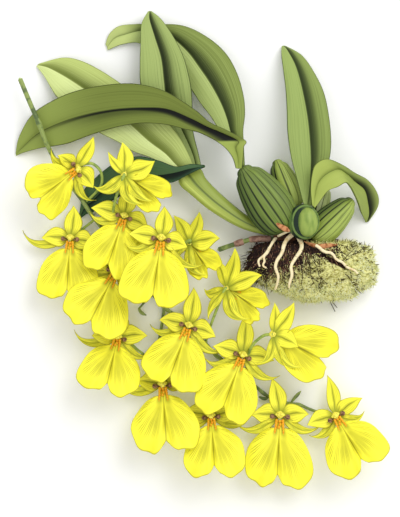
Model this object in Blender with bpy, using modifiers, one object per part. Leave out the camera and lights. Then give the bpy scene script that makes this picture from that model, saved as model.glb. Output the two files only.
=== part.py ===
"""A flowering oncidium orchid, lifted with its clump of moss and laid flat on a table.

The plant lies in the XY plane with +Y towards the leaf tips and +Z up, away from the table. The origin
is under the middle of the moss clump, on the table. The outlines are read from a plate whose grid has
its first axis to the right and its second axis down; sheet() turns a plate point into metres.
"""

import math

import bmesh
import bpy
from mathutils import Matrix, Vector, noise
from mathutils.bvhtree import BVHTree

# Driving dimensions, metres
MM = 0.001
PLATE_STEP = 0.5 * MM
CLUMP_LENGTH = 62.0 * MM
CLUMP_WIDTH = 28.5 * MM
CLUMP_HEIGHT = 25.0 * MM
LEAF_THICKNESS = 0.8 * MM
PETAL_THICKNESS = 0.7 * MM
LIP_LENGTH = 34.5 * MM
LIP_HALF_WIDTH = 16.0 * MM
LIP_NOTCH = 7.0 * MM
COLUMN_SIDES = 6
HUB_RADIUS = 2.4 * MM
STEM_RADIUS = 1.15 * MM
BRANCH_RADIUS = 0.8 * MM
PEDICEL_RADIUS = 0.6 * MM
PEDICEL_DIP = 1.8 * MM
PEDICEL_REACH = 2.4 * MM
ROOT_RADIUS = 1.1 * MM
RHIZOME_RADIUS = 2.5 * MM
SEAT_GAP = 0.3 * MM

# The clump's middle on the plate, which is the origin
CLUMP_MIDDLE = (311.0, 273.0)
# The clump's side that faces the bulbs is pressed flat along this plate line
CLUMP_BACK = 249.5

# Each leaf: rows from base to tip of (one edge, midrib, other edge) on the plate, then their heights in mm
LEAF_LONG_FRONT = [
    ((235.5, 169), (238.5, 169.5), (241.5, 169), 23.0, 22.2, 23.0),
    ((232.0, 158), (237.5, 157), (243, 156), 24.6, 23.0, 24.6),
    ((224, 150), (238, 144.5), (245.5, 142), 25.5, 23.4, 25.0),
    ((213, 140.5), (226, 136), (229, 134), 25.0, 23.2, 24.0),
    ((200, 133.5), (209, 130.5), (211, 126), 23.6, 22.2, 23.4),
    ((184, 130), (192, 125), (195, 110.6), 21.8, 20.6, 22.6),
    ((166, 125.5), (168, 115), (166, 93), 20.2, 18.6, 21.0),
    ((141, 124), (143, 111), (141, 85.4), 18.6, 16.8, 19.0),
    ((116, 128), (116, 110.5), (116, 84.6), 16.6, 14.6, 16.6),
    ((92, 135), (88, 115), (83, 89.5), 13.6, 11.6, 13.6),
    ((66, 144), (62, 122), (58, 98), 9.8, 8.2, 10.2),
    ((41.5, 147.6), (38, 133), (33, 113), 5.8, 4.6, 6.4),
    ((23, 152), (21.5, 147), (19, 135), 2.4, 1.9, 2.8),
    ((15.5, 155), (15.2, 153.8), (15, 152.5), 0.5, 0.45, 0.5),
]
LEAF_ARCHED_BACK = [
    ((238.5, 167.5), (241, 167), (244.5, 166.5), 18.9, 18.3, 18.9),
    ((233, 150), (238, 148), (243.5, 146), 18.0, 16.8, 18.0),
    ((224, 137), (231, 134), (243, 130), 16.6, 14.8, 16.8),
    ((217, 127), (227, 119), (244.8, 114), 14.6, 12.6, 15.0),
    ((210, 116), (221, 103), (243.5, 96), 12.4, 10.4, 13.0),
    ((201, 104), (211, 84), (237, 73), 9.6, 7.8, 10.6),
    ((192, 90), (199, 66), (225, 52), 7.0, 5.6, 8.2),
    ((180, 72), (187, 50), (205, 35), 5.0, 4.2, 6.0),
    ((166, 57), (170, 35.5), (181, 24.4), 4.2, 3.4, 5.0),
    ((150, 47), (150, 29), (150, 23.2), 3.8, 3.0, 4.0),
    ((136, 41.8), (138, 30), (135, 23), 3.2, 2.6, 3.4),
    ((121.7, 43.4), (126, 33), (118.4, 25), 2.4, 2.0, 2.6),
    ((113, 46.5), (114.5, 37), (108.7, 33), 1.5, 1.2, 1.6),
    ((107.3, 49), (106.8, 46), (105.2, 43), 0.5, 0.45, 0.5),
]
LEAF_UPRIGHT_LEFT = [
    ((191, 168), (196, 168), (201.5, 167), 11.4, 10.6, 11.4),
    ((184, 154), (192, 152), (198.5, 154), 11.0, 10.0, 11.4),
    ((170, 130), (181, 128), (193, 131), 10.6, 9.6, 12.0),
    ((158, 113), (172, 110), (192.5, 110), 10.6, 9.8, 13.0),
    ((146, 97), (166, 94), (191.6, 92), 11.4, 10.4, 13.6),
    ((140.5, 84), (164.5, 82), (189.5, 78), 12.0, 10.6, 13.4),
    ((139.8, 65), (161.5, 58), (184, 58), 11.8, 10.0, 12.4),
    ((140.5, 43), (155, 37), (174.8, 39), 10.4, 8.8, 10.6),
    ((141.5, 24), (149.5, 19), (162, 20), 8.2, 7.2, 8.2),
    ((148, 11), (149.5, 10.5), (151.5, 11), 6.2, 6.0, 6.2),
]
LEAF_PALE_LEFT = [
    ((189.5, 181.0), (193, 178.4), (195.5, 171.4), 13.6, 13.4, 13.9),
    ((172, 168), (178, 167), (190, 157), 13.0, 12.6, 13.6),
    ((150, 157.5), (165.8, 154), (182, 141), 12.0, 12.0, 13.6),
    ((132, 151), (149, 141), (172.5, 127.7), 11.2, 11.4, 13.4),
    ((118, 142), (132.7, 126), (158, 112), 10.4, 10.4, 13.2),
    ((99.5, 132.7), (112, 108), (138, 96), 9.4, 9.0, 12.0),
    ((76, 117), (94, 95), (121, 83.7), 7.4, 7.2, 9.6),
    ((57, 97), (74, 81.5), (99.5, 69.6), 5.4, 5.0, 7.0),
    ((49.7, 86), (60, 73), (80, 60), 4.0, 3.4, 5.0),
    ((43, 74.6), (47, 66.5), (62, 57), 2.4, 1.8, 2.8),
    ((35.8, 65.5), (36.5, 64), (38.5, 62.8), 0.5, 0.45, 0.5),
]
LEAF_DARK_LOW = [
    ((203.5, 163.5), (203.8, 166), (202.5, 168.5), 17.4, 16.8, 17.2),
    ((188, 167), (187, 170.5), (185, 174), 16.6, 15.8, 16.2),
    ((174, 168.5), (172, 173.5), (170, 178.5), 15.8, 14.6, 15.0),
    ((157, 160), (156, 176), (156, 180), 14.8, 12.8, 13.4),
    ((139, 156.5), (139, 176), (142, 186), 13.0, 10.8, 11.6),
    ((119, 161), (120, 180), (124, 194), 10.4, 8.2, 9.0),
    ((103, 171), (103, 190), (106, 204), 7.6, 5.6, 6.2),
    ((90, 183), (92, 201), (94, 211), 4.8, 3.2, 3.6),
    ((83, 192), (84.5, 207), (85.5, 214), 2.8, 1.8, 2.0),
    ((78.6, 216), (79.4, 217), (80.2, 218), 0.5, 0.45, 0.5),
]
LEAF_UPRIGHT_RIGHT = [
    ((303, 205.4), (306.5, 206.6), (310.4, 205.4), 20.0, 19.6, 20.0),
    ((298, 186), (309, 187), (316, 188), 19.0, 17.6, 18.0),
    ((290.4, 157.5), (310.5, 165), (324, 172), 19.4, 17.0, 17.8),
    ((287, 132.7), (310, 145), (329.7, 155), 18.6, 15.6, 17.6),
    ((286.5, 112), (307.5, 118), (330, 130), 16.8, 13.6, 16.2),
    ((285.4, 90), (302, 88), (325, 98), 13.8, 10.8, 13.4),
    ((283, 68), (296, 66), (316, 76), 9.6, 7.2, 9.4),
    ((281.5, 53), (288.5, 51), (303, 56), 5.0, 3.6, 5.0),
    ((282.4, 45.4), (284, 44.8), (286.5, 45.4), 0.5, 0.45, 0.5),
]
LEAF_CURLED_RIGHT = [
    ((308.5, 204.8), (310.8, 205.4), (313.8, 205.6), 24.0, 23.4, 24.0),
    ((309.5, 190), (313, 191), (319, 197), 23.8, 22.4, 23.6),
    ((311, 174), (318, 179), (326, 193), 25.4, 23.2, 24.8),
    ((318, 165.5), (330, 173), (337, 186), 26.0, 23.4, 25.2),
    ((334, 164), (343, 171), (344, 184), 24.6, 22.0, 24.2),
    ((352.6, 171.5), (352, 176), (348.5, 191), 21.4, 19.2, 21.6),
    ((368, 177.5), (363, 187), (353, 200), 16.6, 14.4, 17.0),
    ((378, 190), (369.5, 203), (357.5, 209), 10.0, 8.2, 10.6),
    ((380, 204), (371, 214), (361.5, 216), 4.6, 3.4, 4.8),
    ((369.6, 222.6), (368.4, 222.2), (367.4, 221.4), 0.5, 0.45, 0.5),
]

# Bulbs: base and apex on the plate, their heights, width, depth and rib count
BULBS = {
    "pseudobulb_main": ((286, 229), (241.5, 168), 17.0, 20.0, 21.5, 17.0, 9),
    "pseudobulb_back": ((297, 209), (276, 160), 10.4, 10.0, 10.0, 8.6, 7),
    "pseudobulb_young": ((306, 240), (306, 204.5), 23.6, 22.0, 15.0, 11.0, 0),
    "pseudobulb_right": ((313, 238.5), (351, 200.5), 14.2, 14.0, 13.2, 11.6, 8),
    "pseudobulb_old": ((318, 216), (327, 189), 9.6, 9.0, 8.0, 6.4, 6),
}

# Stems and roots: plate points with heights in mm
SPRAY_STEM = [
    (20, 79, 8.6),
    (30, 103, 9.6),
    (39, 123.5, 9.8),
    (46, 142.6, 9.4),
    (56, 162, 7.8),
    (69, 183, 6.4),
    (81, 199, 5.6),
    (89, 211.6, 4.8),
    (97, 222, 3.8),
    (104, 231, 2.8),
    (119, 250, 2.2),
    (135, 271, 2.0),
    (150, 291, 2.0),
    (164.5, 308, 2.0),
    (183, 321, 2.0),
    (204, 342, 2.0),
    (218, 357.5, 2.0),
    (236, 369, 2.0),
    (257, 388, 2.0),
    (270, 398, 2.0),
    (287, 403.5, 2.0),
    (300, 405.6, 2.0),
    (313, 411, 2.0),
    (333, 417.5, 2.0),
]
# The stem's last stretch begins at this plate column
STEM_END_FROM = 252
SIDE_BRANCH = [
    (164, 308, 2.0),
    (161.5, 325, 1.8),
    (158, 342, 1.7),
    (150, 353, 1.7),
    (141, 356, 1.8),
]
PEDUNCLE_STUB = [
    (273.4, 238.6, 11.2),
    (253.6, 239, 8.8),
    (244, 241.4, 7.8),
    (233, 244.8, 6.6),
    (219, 249.5, 5.0),
]
RHIZOME = [
    (273, 235.8, 14.2),
    (288, 237.2, 14.2),
    (306, 242.4, 12.0),
    (324, 243.8, 10.4),
    (338, 243, 9.6),
]
# Roots run over the clump's face. Their first two points leave the rhizome.
ROOTS = {
    "root_1": [(283, 243), (279, 248), (272, 253), (264, 257), (259.5, 262)],
    "root_2": [(290, 243), (285, 248), (279, 255), (276, 264), (276.6, 277.6), (275, 288)],
    "root_3": [(298, 244.5), (299.5, 251), (294, 260), (290, 270), (290.4, 279), (289, 286)],
    "root_4": [(318, 247), (324, 251), (331, 257), (339, 260.5), (347, 267), (356, 275)],
}

# Each flower: middle on the plate, height in mm, degrees of roll (lip away from straight down, towards
# the right), of pitch (lip end up), of turn (180 shows its back) and of the lip's own rise, then its
# size beside a full-grown flower and the stem it grows on
FLOWERS = [
    (77, 168, 14.5, -57, 8, 25, 14, 0.9, "stem"),
    (125, 175, 21.6, 54, 24, 180, 0, 0.9, "stem"),
    (124.4, 216, 12.4, -18, 6, 0, 4, 0.86, "stem"),
    (70, 238, 7.0, -3, 8, 0, 6, 0.9, "stem"),
    (161.4, 238.4, 19.0, -8, 9, 0, 8, 1.0, "stem"),
    (116, 271.6, 9.5, -27, 8, 0, 14, 0.98, "stem"),
    (189.5, 243, 10.4, 35, 34, 180, 0, 0.86, "stem"),
    (226.5, 288, 14.2, 56, 34, 180, 0, 0.86, "stem"),
    (188.6, 325.6, 8.4, -20, 8, 0, 8, 0.94, "stem"),
    (117.6, 337, 7.0, -12, 8, 0, 22, 0.92, "branch"),
    (242.8, 355, 9.0, -21, 8, 0, 4, 0.94, "stem"),
    (273, 334, 17.2, 63, 6, 180, 0, 0.92, "stem_end"),
    (162.5, 384.5, 7.0, 4, 8, 0, 14, 1.0, "branch"),
    (211, 416, 8.2, 4, 8, 0, 18, 0.92, "stem"),
    (280, 415.4, 8.0, -3, 6, 0, 2, 1.0, "stem"),
    (335.8, 416, 8.0, 30, 8, 0, 20, 0.94, "stem"),
]

# Tepals: direction in degrees, length and width in metres, lift of the tip in metres
TEPALS = [
    (90, 18.5 * MM, 9.0 * MM, 1.0 * MM),
    (8, 14.5 * MM, 9.0 * MM, 1.6 * MM),
    (172, 14.5 * MM, 9.0 * MM, 1.6 * MM),
    (220, 21.0 * MM, 4.8 * MM, -2.2 * MM),
    (320, 21.0 * MM, 4.8 * MM, -2.2 * MM),
]
TEPAL_PROFILE = [(0.12, 0.45), (0.48, 1.0), (0.8, 0.7), (1.0, 0.1)]
LIP_PROFILE = [(0.0, 0.16), (0.16, 0.2), (0.3, 0.66), (0.5, 0.98), (0.7, 1.0), (0.88, 0.78), (1.0, 0.44)]
# The column: shift towards the dorsal sepal, height and radius in mm
COLUMN_PROFILE = [(0.0, 4.6, 1.2), (0.3, 2.2, 1.5), (0.4, -0.1, 1.7)]
LIP_START = 2.6 * MM
LIP_RISE = 1.1 * MM
LIP_CURVE = 2.0 * MM

COLOURS = {
    "leaf": ((0.24, 0.38, 0.08), 0.45),
    "pale_leaf": ((0.55, 0.68, 0.24), 0.45),
    "dark_leaf": ((0.05, 0.16, 0.06), 0.4),
    "bulb": ((0.25, 0.42, 0.1), 0.4),
    "sheath": ((0.45, 0.62, 0.15), 0.5),
    "bract": ((0.45, 0.2, 0.08), 0.7),
    "stem": ((0.3, 0.45, 0.16), 0.5),
    "root": ((0.8, 0.68, 0.38), 0.6),
    "rhizome": ((0.3, 0.2, 0.08), 0.7),
    "moss": ((0.1, 0.05, 0.03), 0.95),
    "petal": ((0.95, 0.85, 0.08), 0.5),
    "lip": ((1.0, 0.9, 0.08), 0.5),
}


def clear_scene():
    """Removes what the start-up file holds."""
    for item in list(bpy.data.objects):
        bpy.data.objects.remove(item, do_unlink=True)


def collection(name):
    """A new collection in the scene."""
    made = bpy.data.collections.new(name)
    bpy.context.scene.collection.children.link(made)
    return made


def material(name):
    """The Principled material of one kind of organ."""
    found = bpy.data.materials.get(name)
    if found:
        return found
    colour, roughness = COLOURS[name]
    made = bpy.data.materials.new(name)
    made.use_nodes = True
    shader = made.node_tree.nodes["Principled BSDF"]
    shader.inputs["Base Color"].default_value = (*colour, 1.0)
    shader.inputs["Roughness"].default_value = roughness
    shader.inputs["Metallic"].default_value = 0.0
    return made


def sheet(u, v, height=0.0):
    """The place of a plate point, at a height in mm over the table."""
    return Vector(((u - CLUMP_MIDDLE[0]) * PLATE_STEP, (CLUMP_MIDDLE[1] - v) * PLATE_STEP, height * MM))


def blend(rows, position):
    """Catmull-Rom value of a list of vectors at a position counted in rows."""
    last = len(rows) - 1
    low = min(int(position), last - 1)
    share = position - low
    before = rows[max(low - 1, 0)]
    start, end = rows[low], rows[low + 1]
    after = rows[min(low + 2, last)]
    return 0.5 * (
        2 * start
        + (end - before) * share
        + (2 * before - 5 * start + 4 * end - after) * share**2
        + (3 * start - before - 3 * end + after) * share**3
    )


def resampled(rows, count):
    """A smooth line through the rows, with count points."""
    return [blend(rows, (len(rows) - 1) * step / (count - 1)) for step in range(count)]


def profile(pairs, position):
    """A smooth value between the profile's pairs of (position, value)."""
    for (low, first), (high, second) in zip(pairs, pairs[1:]):
        if position <= high:
            share = max(0.0, (position - low) / (high - low))
            ease = share * share * (3 - 2 * share)
            return first + (second - first) * ease
    return pairs[-1][1]


def mesh_object(name, mesh, group, look):
    """A mesh as an object with its material, shaded smooth."""
    made = bpy.data.objects.new(name, mesh)
    group.objects.link(made)
    mesh.materials.append(material(look))
    mesh.shade_smooth()
    mesh.set_sharp_from_angle(angle=math.radians(50))
    return made


def grid_mesh(name, rows):
    """An open surface through rows of points, facing +Z where the rows run away and the points left."""
    build = bmesh.new()
    made = [[build.verts.new(point) for point in row] for row in rows]
    for near, far in zip(made, made[1:]):
        for low, high in zip(range(len(near) - 1), range(1, len(near))):
            build.faces.new((near[low], near[high], far[high], far[low]))
    bmesh.ops.recalc_face_normals(build, faces=build.faces[:])
    mesh = bpy.data.meshes.new(name)
    build.to_mesh(mesh)
    build.free()
    return mesh


def thicken(item, thickness):
    """Gives an open surface its thickness, half on each side."""
    shell = item.modifiers.new("thickness", "SOLIDIFY")
    shell.thickness = thickness
    shell.offset = 0.0
    shell.use_even_offset = False


def loft_mesh(name, rings):
    """A closed surface over rings of points, with a point at each end's middle."""
    build = bmesh.new()
    made = [[build.verts.new(point) for point in ring] for ring in rings]
    for near, far in zip(made, made[1:]):
        for index in range(len(near)):
            following = (index + 1) % len(near)
            build.faces.new((near[index], near[following], far[following], far[index]))
    for ring, places in ((made[0], rings[0]), (made[-1], rings[-1])):
        middle = build.verts.new(sum(places, Vector()) / len(places))
        for index in range(len(ring)):
            build.faces.new((ring[index], ring[(index + 1) % len(ring)], middle))
    bmesh.ops.recalc_face_normals(build, faces=build.faces[:])
    mesh = bpy.data.meshes.new(name)
    build.to_mesh(mesh)
    build.free()
    return mesh


def limb(name, line, half_widths, half_depths, sides, ribs=0, rib_depth=0.0, side_axis=None):
    """A tapering body along a line, flat to the table or to side_axis, with lengthwise ribs where asked."""
    rings = []
    for index, middle in enumerate(line):
        along = line[min(index + 1, len(line) - 1)] - line[max(index - 1, 0)]
        along.normalize()
        across = Vector((0, 0, 1)).cross(along) if side_axis is None else side_axis - along * side_axis.dot(along)
        across.normalize()
        upward = along.cross(across).normalized()
        ring = []
        for side in range(sides):
            angle = 2 * math.pi * side / sides
            reach = 1.0 - rib_depth * (0.5 + 0.5 * math.cos(ribs * angle)) if ribs else 1.0
            offset = across * math.cos(angle) * half_widths[index]
            offset += upward * math.sin(angle) * half_depths[index]
            ring.append(middle + offset * reach)
        rings.append(ring)
    return loft_mesh(name, rings)


def leaf(name, rows, group, look):
    """A leathery leaf with a channel along its midrib."""
    count = 17
    tracks = []
    for column in range(3):
        points = [sheet(*row[column], row[3 + column]) for row in rows]
        tracks.append(resampled(points, count))
    lines = []
    for index in range(count):
        edge, midrib, other = (track[index] for track in tracks)
        bulge = Vector((0, 0, 0.35 * MM))
        lines.append([edge, (edge + midrib) / 2 + bulge, midrib, (midrib + other) / 2 + bulge, other])
    made = mesh_object(name, grid_mesh(name, lines), group, look)
    thicken(made, LEAF_THICKNESS)
    return made


def bulb(name, values, group):
    """An egg-shaped bulb, fullest under its middle, with lengthwise grooves where it is old."""
    base, apex, base_height, apex_height, width, depth, ribs = values
    steps = 11
    start, end = sheet(*base, base_height), sheet(*apex, apex_height)
    line = []
    half_widths = []
    half_depths = []
    for step in range(steps):
        share = 0.5 - 0.5 * math.cos(math.pi * (0.09 + 0.82 * step / (steps - 1)))
        reach = math.sin(math.pi * share**0.82) ** 0.72
        line.append(start.lerp(end, (share - 0.0197) / 0.9606))
        half_widths.append(reach * width * MM / 2)
        half_depths.append(reach * depth * MM / 2)
    sides = 27 if ribs else 16
    body = limb(name, line, half_widths, half_depths, sides, ribs, 0.08)
    return mesh_object(name, body, group, "bulb")


def clump(group):
    """The root mat: a rounded, uneven lump with a flat underside and a flat side under the rhizome."""
    build = bmesh.new()
    bmesh.ops.create_icosphere(build, subdivisions=4, radius=1.0)
    size = Vector((CLUMP_LENGTH / 2, CLUMP_WIDTH / 2, CLUMP_HEIGHT / 2))
    back = sheet(0, CLUMP_BACK).y
    for vert in build.verts:
        direction = vert.co.normalized()
        lump = 1.0 + 0.1 * noise.noise(direction * 2.3) + 0.05 * noise.noise(direction * 6.0)
        spot = Vector(direction[axis] * size[axis] * lump for axis in range(3))
        spot.z = max(0.0, spot.z * 1.12 + size.z * 0.92)
        spot.y = min(back, spot.y)
        vert.co = spot
    mesh = bpy.data.meshes.new("moss_clump")
    build.to_mesh(mesh)
    build.free()
    return mesh_object("moss_clump", mesh, group, "moss")


def tube(name, points, start_radius, end_radius, group, look, resolution=2):
    """A round stem through points, tapering evenly, with closed ends."""
    curve = bpy.data.curves.new(name, "CURVE")
    curve.dimensions = "3D"
    curve.bevel_depth = start_radius
    curve.bevel_resolution = resolution
    curve.render_resolution_u = 0
    curve.use_fill_caps = True
    spline = curve.splines.new("POLY")
    spline.points.add(len(points) - 1)
    for index, point in enumerate(points):
        share = index / (len(points) - 1)
        spline.points[index].co = (*point, 1.0)
        spline.points[index].radius = 1.0 + (end_radius / start_radius - 1.0) * share
    made = bpy.data.objects.new(name, curve)
    group.objects.link(made)
    curve.materials.append(material(look))
    return made


def as_mesh(item, group):
    """A tube turned into a closed mesh object, which a Boolean can take."""
    name, place = item.name, item.matrix_world.copy()
    graph = bpy.context.evaluated_depsgraph_get()
    mesh = bpy.data.meshes.new_from_object(item.evaluated_get(graph))
    bpy.data.objects.remove(item, do_unlink=True)
    build = bmesh.new()
    build.from_mesh(mesh)
    bmesh.ops.remove_doubles(build, verts=build.verts[:], dist=0.01 * MM)
    bmesh.ops.recalc_face_normals(build, faces=build.faces[:])
    build.to_mesh(mesh)
    build.free()
    made = bpy.data.objects.new(name, mesh)
    made.matrix_world = place
    group.objects.link(made)
    return made


def unite(item, tool):
    """Joins a tool to an object. The tool itself stays a guide."""
    tool.hide_render = True
    tool.display_type = "WIRE"
    joint = item.modifiers.new("with_" + tool.name, "BOOLEAN")
    joint.operation = "UNION"
    joint.solver = "EXACT"
    joint.object = tool


def path(rows, count):
    """A smooth path through plate points with heights."""
    return resampled([sheet(*row) for row in rows], count)


def tepal_points(direction, length, width, lift):
    """Rows of three points along one sepal or petal, from the hub outwards."""
    outward = Vector((math.cos(math.radians(direction)), math.sin(math.radians(direction)), 0))
    across = Vector((-outward.y, outward.x, 0))
    rows = []
    for position, fullness in TEPAL_PROFILE:
        reach = HUB_RADIUS + (length - HUB_RADIUS) * position
        half = width / 2 * fullness
        rise = lift * position**2
        middle = outward * reach + Vector((0, 0, rise))
        edge_lift = Vector((0, 0, 0.12 * half))
        rows.append((middle - across * half + edge_lift, middle, middle + across * half + edge_lift))
    return rows


def tepals_mesh(name):
    """The open surface of the three sepals and two petals, joined round a hub."""
    build = bmesh.new()
    ordered = sorted(TEPALS)
    strips = []
    for direction, length, width, lift in ordered:
        rows = tepal_points(direction, length, width, lift)
        strips.append([[build.verts.new(point) for point in row] for row in rows])
    middle = build.verts.new((0, 0, 0))
    count = len(strips)
    for index, strip in enumerate(strips):
        following = strips[(index + 1) % count]
        for near, far in zip(strip, strip[1:]):
            build.faces.new((near[0], far[0], far[1], near[1]))
            build.faces.new((near[1], far[1], far[2], near[2]))
        build.faces.new((middle, strip[0][0], strip[0][1]))
        build.faces.new((middle, strip[0][1], strip[0][2]))
        build.faces.new((middle, strip[0][2], following[0][0]))
    bmesh.ops.recalc_face_normals(build, faces=build.faces[:])
    mesh = bpy.data.meshes.new(name)
    build.to_mesh(mesh)
    build.free()
    return mesh


def lip_mesh(name):
    """The open surface of a lip: a claw that widens into two lobes with a notch between."""
    columns = [-1.0, -0.66, -0.33, 0.0, 0.33, 0.66, 1.0]
    rows = []
    for position, fullness in LIP_PROFILE:
        half = LIP_HALF_WIDTH * fullness
        row = []
        for column in columns:
            notch = LIP_NOTCH * (1 - abs(column)) ** 2 * position**3
            place = Vector((half * column, -LIP_START - LIP_LENGTH * position + notch, 0))
            droop = LIP_CURVE * (place.x / LIP_HALF_WIDTH) ** 2
            place.z = LIP_RISE + LIP_CURVE * math.sin(math.pi * position) * 0.6 - droop * 0.5
            row.append(place)
        rows.append(row)
    return grid_mesh(name, rows)


def nearest(line, place):
    """The point of a line that is nearest to a place."""
    return min(line, key=lambda point: (point - place).length)


def flower(number, values, stems, group, guides):
    """One flower: its lip, and its tepals with column and pedicel."""
    u, v, height, roll, pitch, turn, lip_rise, size, grows_on = values
    name = f"flower_{number:02d}"
    turned = Matrix.Rotation(math.radians(turn), 4, "Y")
    tilted = Matrix.Rotation(-math.radians(pitch), 4, "X")
    rolled = Matrix.Rotation(math.radians(roll), 4, "Z")
    place = Matrix.Translation(sheet(u, v, height)) @ rolled @ tilted @ turned @ Matrix.Scale(size, 4)
    petals = mesh_object(name + "_tepals", tepals_mesh(name + "_tepals"), group, "petal")
    petals.matrix_world = place
    thicken(petals, PETAL_THICKNESS)
    column_line = [place @ Vector((0, across * MM, height * MM)) for across, height, _ in COLUMN_PROFILE]
    column_radii = [half * MM for _, _, half in COLUMN_PROFILE]
    side_axis = place.to_3x3() @ Vector((1, 0, 0))
    column = limb(name + "_column", column_line, column_radii, column_radii, COLUMN_SIDES, side_axis=side_axis)
    unite(petals, mesh_object(name + "_column", column, guides, "petal"))
    line, radius = stems[grows_on]
    hub = place @ Vector((0, 0, 0.2 * MM))
    behind = place @ Vector((0, 0, -PEDICEL_REACH))
    seat = nearest(line, behind)
    foot = seat + (behind - seat).normalized() * (radius + SEAT_GAP)
    dip = behind.lerp(foot, 0.45)
    dip.z = min(dip.z, foot.z + PEDICEL_DIP)
    stalk_line = resampled([hub, behind, dip, foot], 8)
    radii = [PEDICEL_RADIUS] * len(stalk_line)
    sideways = (foot - behind).cross(hub - behind)
    stalk = limb(name + "_stalk", stalk_line, radii, radii, COLUMN_SIDES, side_axis=sideways)
    unite(petals, mesh_object(name + "_stalk", stalk, guides, "stem"))
    lip = mesh_object(name + "_lip", lip_mesh(name + "_lip"), group, "lip")
    lip.matrix_world = place @ Matrix.Rotation(-math.radians(lip_rise), 4, "X")
    thicken(lip, PETAL_THICKNESS)


def seated_root(rows, ground):
    """A root's line over the clump: it leaves the rhizome and lies on what is under it."""
    flat = resampled([sheet(u, v) for u, v in rows], 22)
    reach = ROOT_RADIUS + SEAT_GAP
    line = []
    for index, point in enumerate(flat):
        highest = 0.0
        for turn in range(8):
            angle = 2 * math.pi * turn / 8
            probe = point + Vector((math.cos(angle), math.sin(angle), 0)) * reach
            hit = ground.ray_cast(Vector((probe.x, probe.y, 0.1)), Vector((0, 0, -1)))[0]
            highest = max(highest, hit.z if hit else 0.0)
        leaving = RHIZOME[0][2] * MM + RHIZOME_RADIUS + reach
        line.append(Vector((point.x, point.y, max(highest + reach, leaving))))
    return line


def build_plant():
    """The whole plant."""
    clear_scene()
    plant = collection("oncidium_orchid")
    guides = collection("guides")
    moss = clump(plant)
    graph = bpy.context.evaluated_depsgraph_get()
    ground = BVHTree.FromObject(moss, graph)

    leaf("leaf_long_front", LEAF_LONG_FRONT, plant, "leaf")
    leaf("leaf_arched_back", LEAF_ARCHED_BACK, plant, "leaf")
    leaf("leaf_upright_left", LEAF_UPRIGHT_LEFT, plant, "leaf")
    leaf("leaf_pale_left", LEAF_PALE_LEFT, plant, "pale_leaf")
    leaf("leaf_dark_low", LEAF_DARK_LOW, plant, "dark_leaf")
    leaf("leaf_upright_right", LEAF_UPRIGHT_RIGHT, plant, "leaf")
    leaf("leaf_curled_right", LEAF_CURLED_RIGHT, plant, "leaf")

    for name, values in BULBS.items():
        bulb(name, values, plant)

    sheath_line = path([(267, 231.5, 12.6), (247, 222, 12.8), (222, 201, 13.4), (194.6, 178.2, 14.0)], 9)
    widths = [(2.1 + 6.2 * (step / 8) ** 0.8) * MM for step in range(9)]
    depths = [(2.2 + 2.6 * (step / 8)) * MM for step in range(9)]
    sheath = limb("growth_sheath", sheath_line, widths, depths, 12)
    mesh_object("growth_sheath", sheath, plant, "sheath")

    tube("rhizome", path(RHIZOME, 9), RHIZOME_RADIUS, RHIZOME_RADIUS * 0.8, plant, "rhizome")
    tube("peduncle_stub", path(PEDUNCLE_STUB, 12), STEM_RADIUS, STEM_RADIUS * 1.1, plant, "stem")
    for name, rows in ROOTS.items():
        tube(name, seated_root(rows, ground), ROOT_RADIUS, ROOT_RADIUS * 0.7, plant, "root")

    bract_rows = {
        "bract_main": [(275, 232, 22.5), (282, 234, 21.5), (290, 235.6, 20.5)],
        "bract_right": [(311, 244.0, 19.4), (320, 244.6, 18.8), (331, 243.0, 18.0)],
    }
    for name, rows in bract_rows.items():
        line = path(rows, 6)
        fullness = [0.3, 0.8, 1.0, 1.0, 0.75, 0.25]
        body = limb(name, line, [2.2 * MM * f for f in fullness], [0.7 * MM * f for f in fullness], 10)
        mesh_object(name, body, plant, "bract")

    stem_line = path(SPRAY_STEM, 48)
    branch_line = path(SIDE_BRANCH, 14)
    stem = tube("flower_stem", stem_line, STEM_RADIUS, STEM_RADIUS * 0.62, guides, "stem")
    stem = as_mesh(stem, plant)
    twig = tube("side_branch", branch_line, BRANCH_RADIUS, BRANCH_RADIUS * 0.8, guides, "stem")
    unite(stem, as_mesh(twig, guides))
    stem_end = [point for point in stem_line if point.x > sheet(STEM_END_FROM, 0).x]
    stems = {
        "stem": (stem_line, STEM_RADIUS),
        "stem_end": (stem_end, STEM_RADIUS),
        "branch": (branch_line, BRANCH_RADIUS),
    }
    for number, values in enumerate(FLOWERS, start=1):
        flower(number, values, stems, plant, guides)


build_plant()
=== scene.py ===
"""Looks of a flowering orchid that lies on a pale table, seen from straight above.

Outlines are read from a plate whose first axis runs right and whose second axis runs down; sheet() turns a
plate point and a height in millimetres into metres.
"""

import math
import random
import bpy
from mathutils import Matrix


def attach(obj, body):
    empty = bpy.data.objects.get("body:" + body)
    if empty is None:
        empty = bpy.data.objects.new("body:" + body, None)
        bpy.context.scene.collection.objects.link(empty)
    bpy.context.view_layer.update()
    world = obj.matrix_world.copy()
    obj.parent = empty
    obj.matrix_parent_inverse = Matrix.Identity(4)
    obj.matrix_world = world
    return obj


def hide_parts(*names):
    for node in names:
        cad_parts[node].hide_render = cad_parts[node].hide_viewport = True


bl_info = {
    "name": "Orchid Specimen",
    "version": (1, 0, 0),
    "blender": (4, 5, 0),
    "location": "View3D > Sidebar > Orchid",
    "description": "Builds a flowering orchid with bulbs, leaves, roots, moss and a spray of yellow flowers",
    "category": "Add Mesh",
}

import bmesh
import bpy
from bpy.props import FloatProperty, FloatVectorProperty, IntProperty, PointerProperty
from bpy.types import Operator, Panel, PropertyGroup
from mathutils import Matrix, Vector, noise
from mathutils.bvhtree import BVHTree

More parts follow.
